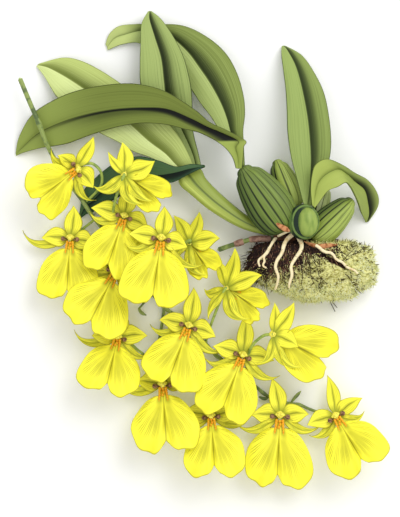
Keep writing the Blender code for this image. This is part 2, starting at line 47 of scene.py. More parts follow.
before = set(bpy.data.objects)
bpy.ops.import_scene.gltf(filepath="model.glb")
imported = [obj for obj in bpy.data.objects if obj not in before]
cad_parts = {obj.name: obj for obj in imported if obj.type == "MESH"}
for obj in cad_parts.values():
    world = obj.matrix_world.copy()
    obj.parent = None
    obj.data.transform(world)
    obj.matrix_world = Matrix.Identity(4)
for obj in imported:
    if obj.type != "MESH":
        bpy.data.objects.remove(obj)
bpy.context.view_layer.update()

MM = 0.001
PLATE_STEP = 0.5 * MM
TABLE_GAP = 0.05 * MM
# Rays down to the clump start here. Dark strokes lie only on what is higher than the next height.
PROBE_FROM = 0.1
STROKES_FROM = 4.0 * MM
BRACT_OVER = 0.7 * MM
# The top of the rhizome where the roots leave it: its middle's height and its radius
ROOTS_LEAVE = (14.2 + 2.5) * MM
# The clump: its middle and back edge on the plate, half its size, and how square its corners are (2 is round)
CLUMP_MIDDLE = (311.0, 273.0)
CLUMP_BACK = 242.5
CLUMP_HALF = Vector((31.0, 14.25, 12.5)) * MM
CLUMP_SQUARE = 3.2
PLATE_SIZE = (400.0, 517.0)
ROOT_BODY = "root"
# The floor's half breadth and how far it lies under the plant, the key light's place from the plate's middle
# and its size, and the camera's sensor in mm
FLOOR_HALF = 3.0
FLOOR_DROP = 0.2 * MM
KEY_OFFSET = Vector((0.45, 0.55, 0.85))
KEY_SIZE = 0.7
SENSOR_WIDTH = 36
# The range of a wave's random start, in radians
WAVE_START = 6.28

# Each leaf: rows from base to tip of (one edge, midrib, other edge) on the plate, then their heights in mm
LEAF_ROWS = {
    "leaf_long_front": [
        ((235.5, 169), (238.5, 169.5), (241.5, 169), 23.0, 22.2, 23.0),
        ((232.5, 159), (237.5, 158), (242.8, 157), 24.6, 23.0, 24.6),
        ((225.5, 149.5), (235.5, 148.6), (243.4, 148), 25.5, 23.6, 25.2),
        ((216, 142.4), (238, 142), (245, 141.6), 25.4, 24.0, 25.2),
        ((206.5, 137), (222, 134), (226.5, 131.4), 24.8, 23.0, 24.2),
        ((197, 133), (206.5, 127.4), (210, 123.6), 23.4, 22.0, 23.4),
        ((184, 130), (191.5, 119.6), (194.5, 110.6), 21.8, 20.4, 22.6),
        ((166, 125.5), (167.5, 109.8), (166.5, 93), 20.2, 18.6, 21.0),
        ((141, 124), (142.6, 108.4), (141, 85.4), 18.6, 16.8, 19.0),
        ((116, 128), (115.6, 109.8), (116, 84.6), 16.6, 14.6, 16.6),
        ((92, 135), (88, 114.4), (83, 89.5), 13.6, 11.6, 13.6),
        ((66, 144), (62, 122), (58, 98), 9.8, 8.2, 10.2),
        ((41.5, 147.6), (38, 133), (33, 113), 5.8, 4.6, 6.4),
        ((23, 152), (21.5, 147), (19, 135), 2.4, 1.9, 2.8),
        ((15.5, 155), (15.2, 153.8), (15, 152.5), 0.5, 0.45, 0.5),
    ],
    "leaf_arched_back": [
        ((238.5, 167.5), (241, 167), (244.5, 166.5), 18.9, 18.3, 18.9),
        ((233, 150), (238, 148), (243.5, 146), 18.0, 16.8, 18.0),
        ((224, 137), (231, 134), (243, 130), 16.6, 14.8, 16.8),
        ((217, 127), (227, 119), (244.8, 114), 14.6, 12.6, 15.0),
        ((210, 116), (221, 103), (243.5, 96), 12.4, 10.4, 13.0),
        ((201, 104), (211, 84), (237, 73), 9.6, 7.8, 10.6),
        ((192, 90), (199, 66), (225, 52), 7.0, 5.6, 8.2),
        ((180, 72), (187, 50), (205, 35), 5.0, 4.2, 6.0),
        ((166, 57), (170, 35.5), (181, 24.4), 4.2, 3.4, 5.0),
        ((150, 47), (150, 29), (150, 23.2), 3.8, 3.0, 4.0),
        ((136, 41.8), (138, 30), (135, 23), 3.2, 2.6, 3.4),
        ((121.7, 43.4), (126, 33), (118.4, 25), 2.4, 2.0, 2.6),
        ((113, 46.5), (114.5, 37), (108.7, 33), 1.5, 1.2, 1.6),
        ((107.3, 49), (106.8, 46), (105.2, 43), 0.5, 0.45, 0.5),
    ],
    "leaf_upright_left": [
        ((191, 168), (196, 168), (201.5, 167), 11.4, 10.6, 11.4),
        ((184, 154), (192, 152), (198.5, 154), 11.0, 10.0, 11.4),
        ((170, 130), (181, 128), (193, 131), 10.6, 9.6, 12.0),
        ((158, 113), (172, 110), (192.5, 110), 10.6, 9.8, 13.0),
        ((146, 97), (166, 94), (191.6, 92), 11.4, 10.4, 13.6),
        ((140.5, 84), (164.5, 82), (189.5, 78), 12.0, 10.6, 13.4),
        ((139.8, 65), (161.5, 58), (184, 58), 11.8, 10.0, 12.4),
        ((140.5, 43), (155, 37), (174.8, 39), 10.4, 8.8, 10.6),
        ((141.5, 24), (149.5, 19), (162, 20), 8.2, 7.2, 8.2),
        ((148, 11), (149.5, 10.5), (151.5, 11), 6.2, 6.0, 6.2),
    ],
    "leaf_pale_left": [
        ((189.5, 181.0), (193, 178.4), (195.5, 171.4), 11.4, 11.2, 11.6),
        ((172, 168), (178, 167), (190, 157), 13.0, 12.6, 13.6),
        ((150, 157.5), (165.8, 154), (182, 141), 12.0, 12.0, 13.6),
        ((132, 151), (149, 141), (172.5, 127.7), 11.2, 11.4, 13.4),
        ((118, 142), (132.7, 126), (158, 112), 10.4, 10.4, 13.2),
        ((99.5, 132.7), (112, 108), (138, 96), 9.4, 9.0, 12.0),
        ((76, 117), (94, 95), (121, 83.7), 7.4, 7.2, 9.6),
        ((57, 97), (74, 81.5), (99.5, 69.6), 5.4, 5.0, 7.0),
        ((49.7, 86), (60, 73), (80, 60), 4.0, 3.4, 5.0),
        ((43, 74.6), (47, 66.5), (62, 57), 2.4, 1.8, 2.8),
        ((35.8, 65.5), (36.5, 64), (38.5, 62.8), 0.5, 0.45, 0.5),
    ],
    "leaf_dark_low": [
        ((204.6, 165.8), (205, 166.6), (204.2, 167.4), 17.2, 16.8, 17.2),
        ((191, 164.6), (190.5, 169), (189.5, 174.2), 17.0, 16.0, 16.6),
        ((176, 167), (174.5, 173), (173.5, 182.4), 16.2, 14.6, 15.4),
        ((159, 161), (158.5, 175.5), (161, 182.8), 15.0, 12.8, 13.8),
        ((139, 156.5), (139, 176), (142, 186), 13.0, 10.8, 11.6),
        ((119, 161), (120, 180), (124, 194), 10.4, 8.2, 9.0),
        ((103, 171), (103, 190), (106, 204), 7.6, 5.6, 6.2),
        ((90, 183), (92, 201), (94, 211), 4.8, 3.2, 3.6),
        ((83, 192), (84.5, 207), (85.5, 214), 2.8, 1.8, 2.0),
        ((78.6, 216), (79.4, 217), (80.2, 218), 0.5, 0.45, 0.5),
    ],
    "leaf_upright_right": [
        ((303, 205.4), (306.5, 206.6), (310.4, 205.4), 20.0, 19.6, 20.0),
        ((298, 186), (309, 187), (316, 188), 19.0, 17.6, 18.0),
        ((290.4, 157.5), (310.5, 165), (324, 172), 19.4, 17.0, 17.8),
        ((287, 132.7), (310, 145), (329.7, 155), 18.6, 15.6, 17.6),
        ((286.5, 112), (307.5, 118), (330, 130), 16.8, 13.6, 16.2),
        ((285.4, 90), (302, 88), (325, 98), 13.8, 10.8, 13.4),
        ((283, 68), (296, 66), (316, 76), 9.6, 7.2, 9.4),
        ((281.5, 53), (288.5, 51), (303, 56), 5.0, 3.6, 5.0),
        ((282.4, 45.4), (284, 44.8), (286.5, 45.4), 0.5, 0.45, 0.5),
    ],
    "leaf_curled_right": [
        ((311, 206), (312.6, 207), (314, 208.4), 24.0, 23.4, 24.0),
        ((309.6, 192), (314, 196), (319.5, 201), 24.4, 22.8, 24.0),
        ((310.4, 178), (317, 184), (327, 191.6), 26.0, 23.6, 25.2),
        ((314, 165.8), (325, 175), (336.5, 187.6), 27.0, 23.8, 25.6),
        ((325, 160), (337, 170), (344.2, 183.5), 26.4, 22.8, 24.6),
        ((340, 165.2), (346, 175), (348.5, 187), 24.4, 20.8, 23.2),
        ((354, 173.6), (354, 182), (352.5, 193.5), 20.8, 17.4, 20.4),
        ((368, 181), (364, 190), (357.3, 203), 15.4, 12.6, 15.4),
        ((377.5, 193.5), (368, 203), (360.5, 211), 9.0, 7.2, 9.2),
        ((378.3, 206), (369.5, 213.5), (363.8, 217), 4.2, 3.2, 4.4),
        ((369.5, 220.6), (367.6, 221.8), (366.3, 221.2), 0.5, 0.45, 0.5),
    ],
}
# Each leaf's paint: its plain half, the half with painted shade at its edge and by the midrib, the painted
# shadow in the channel, the side of the shaded half, and where along the leaf that shadow comes and goes
LEAF_PAINT = {
    "leaf_long_front": ("#727f38", "#6c7934", "#454f20", "#050703", -1, (0.205, 0.225, 0.66, 0.84)),
    "leaf_arched_back": ("#a6b66d", "#808f48", "#55632c", "#2f391a", 1, (0.0, 0.1, 0.6, 0.8)),
    "leaf_upright_left": ("#9bac64", "#98a962", "#3f4c20", "#232c12", 1, (0.2, 0.5, 0.9, 1.0)),
    "leaf_pale_left": ("#d2df95", "#b4c270", "#7f8b43", "#6d7a34", 1, (0.1, 0.3, 0.7, 0.95)),
    "leaf_dark_low": ("#4e6c46", "#35553a", "#12261a", "#0a1710", 1, (0.04, 0.16, 0.3, 0.5)),
    "leaf_upright_right": ("#93a65c", "#83944d", "#4a5828", "#2c3718", 1, (0.05, 0.25, 0.9, 1.0)),
    "leaf_curled_right": ("#8f9e4c", "#8b9a4e", "#5c6a2a", "#14180a", -1, (0.52, 0.66, 0.96, 1.0)),
}
# Each leaf's painted shadow in the channel: its breadth beside its half of the leaf at the base and further
# on, where along the leaf the first gives way to the second, and where inside that breadth it begins to fade
CHANNEL_SHADOWS = {
    "leaf_long_front": (1.1, 0.17, 0.2, 0.66, 0.45),
    "leaf_arched_back": (0.5, 0.4, 0.2, 0.6, 0.04),
    "leaf_upright_left": (0.5, 0.4, 0.2, 0.6, 0.04),
    "leaf_pale_left": (0.4, 0.3, 0.2, 0.6, 0.04),
    "leaf_dark_low": (1.2, 0.9, 0.1, 0.3, 0.3),
    "leaf_upright_right": (0.5, 0.45, 0.2, 0.6, 0.04),
    "leaf_curled_right": (0.9, 0.9, 0.2, 0.6, 0.04),
}
# Where along a leaf a paler stretch begins and is full, and its colour
PALE_STRETCHES = {
    "leaf_arched_back": [(0.74, 0.86, "#bcc97c")],
    "leaf_long_front": [(0.23, 0.2, "#97a650"), (0.66, 0.84, "#8c9b4c")],
    "leaf_curled_right": [(0.5, 0.34, "#a3b157")],
}

# Rows along a leaf and columns across it, and the slots of the leaves that don't use "leaf"
LEAF_GRID = (84, 28)
LEAF_SLOTS = {"leaf_pale_left": "pale_leaf", "leaf_dark_low": "dark_leaf"}

# Bulbs: base and apex on the plate, their heights, width, depth and rib count
BULBS = {
    "pseudobulb_main": ((286.5, 231), (241.5, 167.5), 17.0, 20.0, 23.6, 17.4, 20),
    "pseudobulb_back": ((295, 209), (276, 159.6), 10.4, 10.0, 14.4, 10.0, 12),
    "pseudobulb_right": ((311.5, 239.5), (352.5, 199.5), 14.2, 14.0, 16.4, 12.4, 17),
    "pseudobulb_old": ((318, 216), (327, 187), 9.6, 9.0, 8.6, 6.4, 12),
}
# A bulb's half width beside its widest, from base to apex, the shares of its round ends, and its grid
BULB_PROFILE = [0.5, 0.84, 0.97, 1.0, 0.96, 0.88, 0.76, 0.58, 0.1]
BULB_FOOT = 0.08
BULB_TIP = 0.07
BULB_GRID = (70, 176)
# The young bulb's base and apex on the plate, their heights, width and depth. Its sheath is moved from the
# middle of these, its face from the sheath's middle, and its rim's middle is aside of the sheath's.
YOUNG_BULB = ((306, 240), (306, 204.5), 23.6, 22.0, 15.0, 11.0)
YOUNG_SHEATH_SHIFT = Vector((-1.6, 0, -1.2)) * MM
YOUNG_FACE_SHIFT = Vector((1.9, -0.2, 3.5)) * MM
YOUNG_FACE_HALF = Vector((5.1, 7.2, 4.3)) * MM
YOUNG_RIM_ASIDE = 0.7 * MM
YOUNG_RIM_HALF = (6.3 * MM, 7.9 * MM)
YOUNG_RIM_STEPS = 64
# A lens-shaped body's round ends: their share of its length, and the least width
CAP_LENGTH = 0.04
CAP_LEAST = 0.02

# Stems and roots: plate points with heights in mm
SPRAY_STEM = [
    (20, 79, 8.6),
    (30, 103, 9.6),
    (39, 123.5, 9.8),
    (46, 142.6, 9.4),
    (56, 162, 7.8),
    (69, 183, 6.4),
    (81, 199, 5.6),
    (89, 211.6, 4.8),
    (97, 222, 3.8),
    (104, 231, 2.8),
    (119, 250, 2.2),
    (135, 271, 2.0),
    (150, 291, 2.0),
    (164.5, 308, 2.0),
    (183, 321, 2.0),
    (204, 342, 2.0),
    (218, 357.5, 2.0),
    (236, 369, 2.0),
    (257, 388, 2.0),
    (270, 398, 2.0),
    (287, 403.5, 2.0),
    (300, 405.6, 2.0),
    (313, 411, 2.0),
    (333, 417.5, 2.0),
]
STEM_STEPS = 240
BRANCH_STEPS = 60
STEM_NODES = [(39, 123.5), (104, 231), (164.5, 308), (218, 357.5), (264, 394), (300, 405.6)]
SIDE_BRANCH = [
    (164, 308, 2.0),
    (161.5, 325, 1.8),
    (158, 342, 1.7),
    (150, 353, 1.7),
    (141, 356, 1.8),
]
PEDUNCLE_STUB = [
    (273.4, 238.6, 11.2),
    (253.6, 239, 8.8),
    (244, 241.4, 7.8),
    (233, 244.8, 6.6),
    (219, 249.5, 5.0),
]
RHIZOME = [
    (273, 235.8, 14.2),
    (288, 237.2, 14.2),
    (306, 242.4, 12.0),
    (324, 243.8, 10.4),
    (338, 243, 9.6),
]
# The new growth's sheath: plate points and heights, then its half width, and how far it swells up and down
SHEATH = [
    (269, 232.5, 12.6, 1.8, 2.4, 2.2),
    (243, 221.4, 12.8, 3.6, 3.2, 3.0),
    (217, 203.6, 13.0, 4.9, 3.6, 3.6),
    (199, 187.4, 12.6, 5.5, 3.0, 2.6),
    (190.6, 177.4, 12.0, 6.6, 1.8, 1.6),
    (185, 170, 11.0, 4.4, 0.6, 0.8),
]
BRACTS = {
    "bract_main": [(274.6, 222.6, 24.8), (281, 227.4, 24.8), (289.5, 231.6, 23.4)],
    "bract_right": [(303, 241, 19.4), (317, 246.6, 18.4), (337, 244.4, 16.6)],
}
BUDS = {
    "bud_lower": [(291, 404, 2.6), (296, 397.5, 3.4), (301.5, 391.5, 4.0)],
    "bract_lower": [(259, 397, 2.4), (264, 399.5, 2.6), (268.5, 398.6, 2.6)],
    "bract_middle": [(138.6, 307.6, 2.9), (140.6, 312.6, 3.0), (146.4, 315.6, 2.6)],
}
BRACT_STALK = [(153, 294.5, 2.2), (149, 298, 2.6), (144, 303, 3.0), (138.4, 309.4, 2.9)]
ROOTS = {
    "root_1": [
        (288, 230.5),
        (280, 235),
        (273.4, 241.6),
        (267, 250),
        (261.5, 256.5),
        (259, 261),
        (258.8, 266.5),
    ],
    "root_1_fork": [(269, 247.6), (265.8, 254), (263.4, 259.6), (263.2, 264.4), (265, 268.6)],
    "root_2": [
        (294.5, 233),
        (288, 238.5),
        (283.4, 245),
        (280.2, 253),
        (277, 260),
        (275.6, 268),
        (276.6, 277),
        (275, 289),
    ],
    "root_3": [(298, 237), (300.5, 246), (296, 257), (290.4, 267), (290, 277), (289, 287)],
    "root_4": [(315, 245.5), (322, 250.5), (330, 254), (336, 259), (341, 263.5), (348, 267.5), (356, 273.5)],
}
# Points along a root, how many probes around each find the ground, and each root's radius in mm at its start
ROOT_STEPS = 27
ROOT_PROBES = 8
ROOT_REACH = 1.4 * MM
ROOT_RADII = {"root_1": 1.0, "root_1_fork": 0.8, "root_2": 1.15, "root_3": 1.15, "root_4": 0.85}

# Where the dark moss shoots stand thickest: middle on the plate, its reach across and down, and how thick
DARK_MOSS = [(309, 274, 15, 15, 0.8), (287, 262, 8, 16, 0.7), (356, 247, 17, 8, 0.9), (338, 282, 9, 9, 0.35)]
DARK_MOSS += [(280, 284, 14, 8, 0.3), (354, 284, 7, 5, 0.6), (335, 256, 7, 7, 0.5)]
# Dark strokes that lie on the moss: both ends on the plate
MOSS_STROKES = [((344, 275), (362, 291)), ((364, 258), (375, 265)), ((340, 262), (352, 250))]
MOSS_STROKES += [((350, 256), (366, 246)), ((306, 262), (316, 292)), ((312, 262), (326, 288))]
MOSS_STROKES += [((300, 270), (303, 296)), ((346, 270), (358, 284))]

# Loose rootlets below the clump: both ends on the plate, and how far the middle sways, in plate steps
WIRY_ROOTLETS = [((322, 290), (338, 308), 2), ((326, 288), (336, 312), -2), ((300, 288), (306, 303), 1)]

# Each flower: middle on the plate, height in mm, degrees of roll (lip away from straight down, towards
# the right), of pitch (lip end up), of turn (180 shows its back) and of the lip's own rise, then its
# size beside a full-grown flower and the stem it grows on
FLOWERS = [
    (77, 168, 14.5, -57, 8, 25, 14, 0.9, "stem"),
    (125, 175, 21.6, 54, 24, 180, 0, 0.9, "stem"),
    (124.4, 216, 12.4, -18, 6, 0, 4, 0.86, "stem"),
    (70, 238, 7.0, -3, 8, 0, 6, 0.9, "stem"),
    (161.4, 238.4, 19.0, -8, 9, 0, 8, 1.0, "stem"),
    (116, 271.6, 9.5, -27, 8, 0, 14, 0.98, "stem"),
    (189.5, 243, 10.4, 35, 34, 180, 0, 0.86, "stem"),
    (226.5, 288, 14.2, 56, 34, 180, 0, 0.86, "stem"),
    (188.6, 325.6, 8.4, -20, 8, 0, 8, 0.94, "stem"),
    (117.6, 337, 7.0, -12, 8, 0, 22, 0.92, "branch"),
    (242.8, 355, 9.0, -21, 8, 0, 4, 0.94, "stem"),
    (273, 334, 17.2, 63, 6, 180, 0, 0.92, "stem_end"),
    (162.5, 384.5, 7.0, 4, 8, 0, 14, 1.0, "branch"),
    (211, 416, 8.2, 4, 8, 0, 18, 0.92, "stem"),
    (280, 415.4, 8.0, -3, 6, 0, 2, 1.0, "stem"),
    (335.8, 416, 8.0, 30, 8, 0, 20, 0.94, "stem"),
]
STEM_END_FROM = 252
BACK_TURN = 120

# Tepals in the order of a flower's list: kind, width in mm, lift of the tip in mm, and hook in radians
TEPAL_KINDS = [("dorsal", 8.6, 1.0, 0.12), ("petal", 9.4, 1.6, 0.15), ("petal", 9.4, 1.6, -0.15)]
TEPAL_KINDS += [("lateral", 5.0, -1.2, -0.6), ("lateral", 5.0, -1.2, 0.6), ("lateral", 5.6, -0.8, 0.3)]
# Each flower's tepals as the plate shows them: direction in degrees, length in mm and, where unlike, width
FLOWER_TEPALS = {
    1: [(60, 17.8, 7.4), (141, 12.8, 7), (318, 13.5), (172, 17), (277, 21.6, 4.4)],
    2: [(90, 16.4, 8.4), (12, 17.2, 10.4), (133, 14.5, 4.6), (225, 17.5, 7), (277, 19, 7), (303, 21, 5)],
    3: [(78, 14), (160, 17), (338, 13.5), (200, 18), (294, 23)],
    4: [(79, 16.4), (174, 14.3), (350, 13.4), (198, 25, 4.4), (312, 20)],
    5: [(79, 16), (167, 16.2), (346, 13.7), (214, 19), (303, 26, 4.6)],
    6: [(62, 14), (144, 12.8), (333, 13), (196, 19), (300, 21)],
    7: [(115, 18.6, 7), (69, 17.2, 7.6), (8, 16.4, 10.6), (176, 11, 7), (273, 21.8, 5.6), (214, 12, 4.4)],
    8: [(110, 17.5, 5.6), (73, 20.8, 9), (20, 20.6, 9.6), (204, 13.5, 7), (283, 22.4, 7.4), (225, 18, 5)],
    9: [(77, 19.3), (163, 15), (343, 14.7), (205, 20), (300, 23)],
    10: [(82, 15), (172, 13), (8, 14.8), (198, 22.9, 4.4), (306, 20)],
    11: [(82, 20.8, 8), (158, 15.6), (356, 15.8), (210, 20), (304, 22)],
    12: [(82, 15.8, 5.6), (50, 19, 8), (340, 14, 9), (268, 17, 5.4), (285, 22.4, 5.6)],
    13: [(94, 15), (168, 13), (12, 13), (201, 22.9, 4.8), (354, 17.8, 4.8)],
    14: [(94, 15), (167, 13.6), (12, 13), (210, 18), (335, 20.9, 4.8)],
    15: [(97, 19, 8.4), (174, 14.4), (8, 14.4), (217, 23, 4.6), (320, 21.8, 4.6)],
    16: [(96, 20.6, 6.6), (192, 14.9), (40, 16, 7.6), (244, 17), (342, 15)],
}
# How narrow and how short the lips of the flowers seen from behind or aslant look
LIP_SHARES = {1: (0.92, 0.92), 2: (0.62, 0.78), 7: (0.6, 0.66), 8: (0.62, 0.78), 12: (0.95, 0.94)}
# Pedicels that take a path of their own, from the flower to its stem
PEDICEL_PATHS = {
    1: [(84, 164.5, 13), (93, 164, 13.5), (101, 172, 12), (101.5, 184, 9.6), (95, 193, 7), (86, 201, 5.6)],
    2: [(124, 178, 22), (119, 190, 19), (115, 203, 15.5), (112, 220, 9), (110, 238, 3.4)],
    8: [(224.5, 290, 14), (218, 306, 11.5), (212, 322, 7.5), (208, 334, 4), (206, 343, 2.6)],
    10: [(122, 342, 6), (131, 345, 4), (137, 350, 2.6), (143, 354.5, 2)],
    12: [(271, 334, 16.4), (263, 335.5, 15.6), (254, 343, 13), (249, 353, 9), (247, 368, 5), (246, 378, 2.8)],
    16: [(338.8, 414.8, 6.0), (339.8, 415.8, 4.1), (337, 417.6, 2.5), (331, 417, 2.0)],
}
# The lip's outline: degrees from its middle line, and reach in mm from the end of its claw
LIP_OUTLINE = [
    (0, 23.0),
    (2.5, 24.8),
    (6, 27.6),
    (12, 29.8),
    (22, 30.6),
    (29, 30.0),
    (36, 28.0),
    (43, 25.0),
    (50, 21.4),
    (58, 17.2),
    (67, 12.8),
    (78, 8.8),
    (90, 5.6),
    (95, 4.6),
]
LIP_START = 2.6
LIP_CLAW = 4.4
CLAW_HALF = 2.3


def paint(code):
    """Linear red, green and blue of a colour code."""
    values = []
    for start in (1, 3, 5):
        value = int(code[start : start + 2], 16) / 255
        values.append(value / 12.92 if value <= 0.04045 else ((value + 0.055) / 1.055) ** 2.4)
    return tuple(values)


class OrchidFlowerSettings(PropertyGroup):
    """Sizes and colours of the flowers."""

    lip_colour: FloatVectorProperty(
        name="Lip", description="Colour of the lip's blade", default=paint("#fbf540"),
        subtype="COLOR", min=0, max=1,
    )
    tepal_colour: FloatVectorProperty(
        name="Tepals", description="Colour of sepals and petals", default=paint("#faf446"),
        subtype="COLOR", min=0, max=1,
    )
    vein_colour: FloatVectorProperty(
        name="Veins", description="Colour of the fine veins", default=paint("#8f8a10"),
        subtype="COLOR", min=0, max=1,
    )
    callus_colour: FloatVectorProperty(
        name="Callus", description="Colour of the ridges on the lip", default=paint("#ef9a12"),
        subtype="COLOR", min=0, max=1,
    )
    lip_veins: IntProperty(
        name="Lip veins", description="Veins across the whole lip", default=34, min=4, max=80
    )
    ruffle: FloatProperty(
        name="Ruffle", description="Height of the waves on a lip's margin", default=0.9 * MM,
        unit="LENGTH", min=0, max=0.004,
    )
    thickness: FloatProperty(
        name="Thickness", description="Thickness of a petal", default=0.45 * MM,
        unit="LENGTH", min=0.0001, max=0.002,
    )


class OrchidLeafSettings(PropertyGroup):
    """Sizes and finish of the leaves."""

    thickness: FloatProperty(
        name="Thickness", description="Thickness of a leaf", default=0.8 * MM,
        unit="LENGTH", min=0.0002, max=0.003,
    )
    bulge: FloatProperty(
        name="Bulge", description="How far each half swells, beside its width", default=0.06, min=0, max=0.4
    )
    lines: FloatProperty(
        name="Lines", description="Fine lengthwise lines across a leaf", default=72.0, min=5, max=120
    )


class OrchidBulbSettings(PropertyGroup):
    """Finish of the pseudobulbs."""

    rib_depth: FloatProperty(
        name="Groove depth", description="Depth of a groove beside the bulb's radius", default=0.05,
        min=0, max=0.3,
    )
    high_colour: FloatVectorProperty(
        name="Rib", description="Colour of a rib's crest", default=paint("#74883a"),
        subtype="COLOR", min=0, max=1,
    )
    # The colour of the painted shade in the grooves
    groove_shade_colour: FloatVectorProperty(
        name="Groove", description="Colour in the grooves", default=paint("#0e1a0a"),
        subtype="COLOR", min=0, max=1,
    )


class OrchidMossSettings(PropertyGroup):
    """The clump of fibres and moss."""

    fibres: IntProperty(
        name="Fibres", description="Dark root fibres on the clump", default=2600, min=10, max=9000
    )
    sprigs: IntProperty(
        name="Sprigs", description="Moss sprigs on the clump", default=2600, min=10, max=9000
    )
    strands: IntProperty(
        name="Strands", description="Long strands over the clump", default=380, min=10, max=2000
    )
    fibre_length: FloatProperty(
        name="Fibre length", description="Length of a root fibre", default=5.2 * MM,
        unit="LENGTH", min=0.001, max=0.02,
    )


class OrchidStageSettings(PropertyGroup):
    """Camera, light and floor."""

    distance: FloatProperty(
        name="Camera height", description="Height of the camera over the plant", default=1.5,
        unit="LENGTH", min=0.5, max=5,
    )
    floor_colour: FloatVectorProperty(
        name="Floor", description="Colour of the floor", default=(0.95, 0.95, 0.94),
        subtype="COLOR", min=0, max=1,
    )
    sky: FloatProperty(
        name="Sky light", description="Strength of the even light", default=0.98, min=0, max=3
    )
    key: FloatProperty(
        name="Key light", description="Power of the key light", default=5.0, unit="POWER", min=0, max=100
    )


def sheet(u, v, height=0.0):
    """The place of a plate point, at a height in mm over the table."""
    return Vector(((u - CLUMP_MIDDLE[0]) * PLATE_STEP, (CLUMP_MIDDLE[1] - v) * PLATE_STEP, height * MM))


def blend(rows, position):
    """Catmull-Rom value of a list of numbers or vectors at a position counted in rows."""
    last = len(rows) - 1
    low = min(int(position), last - 1)
    share = position - low
    before = rows[max(low - 1, 0)]
    start, end = rows[low], rows[low + 1]
    after = rows[min(low + 2, last)]
    return 0.5 * (
        2 * start
        + (end - before) * share
        + (2 * before - 5 * start + 4 * end - after) * share**2
        + (3 * start - before - 3 * end + after) * share**3
    )


def resampled(rows, count):
    """A smooth line through the rows, with count points."""
    return [blend(rows, (len(rows) - 1) * step / (count - 1)) for step in range(count)]


def path(rows, count):
    """A smooth path through plate points with heights."""
    return resampled([sheet(*row) for row in rows], count)


def between(pairs, position):
    """A smooth value between pairs of (position, value)."""
    for (low, first), (high, second) in zip(pairs, pairs[1:]):
        if position <= high:
            share = max(0.0, (position - low) / (high - low))
            return first + (second - first) * share
    return pairs[-1][1]


def off_poles(along):
    """A share from 0 to 1, kept a little away from both ends."""
    return 0.004 + 0.992 * along


def surface_mesh(name, rows, columns, point, closed=False):
    """A grid mesh of point(across, along), with a UV map that holds both. Across runs from -1 to 1."""
    verts = []
    coordinates = []
    for row in range(rows + 1):
        along = row / rows
        for column in range(columns + (0 if closed else 1)):
            across = -1 + 2 * column / columns
            verts.append(point(across, along))
            coordinates.append((0.5 + across / 2, along))
    width = columns if closed else columns + 1
    faces = []
    corners = []
    for row in range(rows):
        for column in range(columns):
            following = (column + 1) % width
            corner = (row * width + column, row * width + following)
            corner += ((row + 1) * width + following, (row + 1) * width + column)
            faces.append(corner)
            right = 1.0 if closed and following == 0 else coordinates[following][0]
            left = coordinates[column][0]
            low, high = row / rows, (row + 1) / rows
            corners += [(left, low), (right, low), (right, high), (left, high)]
    mesh = bpy.data.meshes.new(name)
    mesh.from_pydata([tuple(vert) for vert in verts], [], faces)
    layer = mesh.uv_layers.new(name="blade")
    for index, place in enumerate(corners):
        layer.data[index].uv = place
    mesh.validate()
    return mesh


def joined(name, meshes):
    """One mesh of several, with their UV maps kept."""
    made = bpy.data.meshes.new(name)
    verts = []
    faces = []
    corners = []
    for mesh in meshes:
        start = len(verts)
        verts += [tuple(vert.co) for vert in mesh.vertices]
        faces += [tuple(start + index for index in face.vertices) for face in mesh.polygons]
        layer = mesh.uv_layers[0]
        corners += [tuple(item.uv) for item in layer.data]
    made.from_pydata(verts, [], faces)
    layer = made.uv_layers.new(name="blade")
    for index, place in enumerate(corners):
        layer.data[index].uv = place
    return made


def new_object(name, mesh):
    """A mesh as an object in the scene."""
    made = bpy.data.objects.new(name, mesh)
    bpy.context.scene.collection.objects.link(made)
    return made


def applied(item):
    """Turns an object's modifiers into a plain mesh."""
    graph = bpy.context.evaluated_depsgraph_get()
    mesh = bpy.data.meshes.new_from_object(item.evaluated_get(graph), depsgraph=graph)
    item.modifiers.clear()
    item.data = mesh
    return item


def finished(item, skin, slot, nodes=()):
    """Gives a piece its material and ties it to the frame."""
    item.data.materials.clear()
    item.data.materials.append(skin)
    item.data.shade_smooth()
    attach(item, ROOT_BODY)
    if nodes:
        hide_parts(*nodes)
    return item


def sheet_piece(name, mesh, thickness, skin, slot, nodes=()):
    """A thin organ: an open surface with a thickness."""
    item = new_object(name, mesh)
    mesh.materials.append(skin)
    shell = item.modifiers.new("thickness", "SOLIDIFY")
    shell.thickness = thickness
    shell.offset = 0.0
    shell.use_even_offset = False
    applied(item)
    return finished(item, skin, slot, nodes)


def add(tree, kind, settings=None, **sockets):
    """A node with its settings, and values or links for its sockets. A name's underscores are spaces."""
    made = tree.nodes.new(kind)
    for name, value in (settings or {}).items():
        setattr(made, name, value)
    for name, value in sockets.items():
        key = int(name[1:]) if name[0] == "i" and name[1:].isdigit() else name.replace("_", " ")
        socket = made.inputs[key]
        if isinstance(value, bpy.types.NodeSocket):
            tree.links.new(value, socket)
        else:
            socket.default_value = value
    return made


def calc(tree, operation, first, second=0.0):
    """The result of a Math node."""
    return add(tree, "ShaderNodeMath", {"operation": operation}, i0=first, i1=second).outputs[0]


def product(tree, first, second):
    """One value times another."""
    return calc(tree, "MULTIPLY", first, second)


def apart(tree, value, middle):
    """How far a value is from a middle one."""
    return calc(tree, "ABSOLUTE", calc(tree, "SUBTRACT", value, middle))


def mixed(tree, factor, first, second):
    """A colour between two, which are colours or links."""
    made = tree.nodes.new("ShaderNodeMix")
    made.data_type = "RGBA"
    places = {"factor": made.inputs[0], "first": made.inputs[6], "second": made.inputs[7]}
    for key, value in {"factor": factor, "first": first, "second": second}.items():
        if isinstance(value, bpy.types.NodeSocket):
            tree.links.new(value, places[key])
        elif key == "factor":
            places[key].default_value = value
        else:
            places[key].default_value = (*value[:3], 1.0)
    return made.outputs[2]


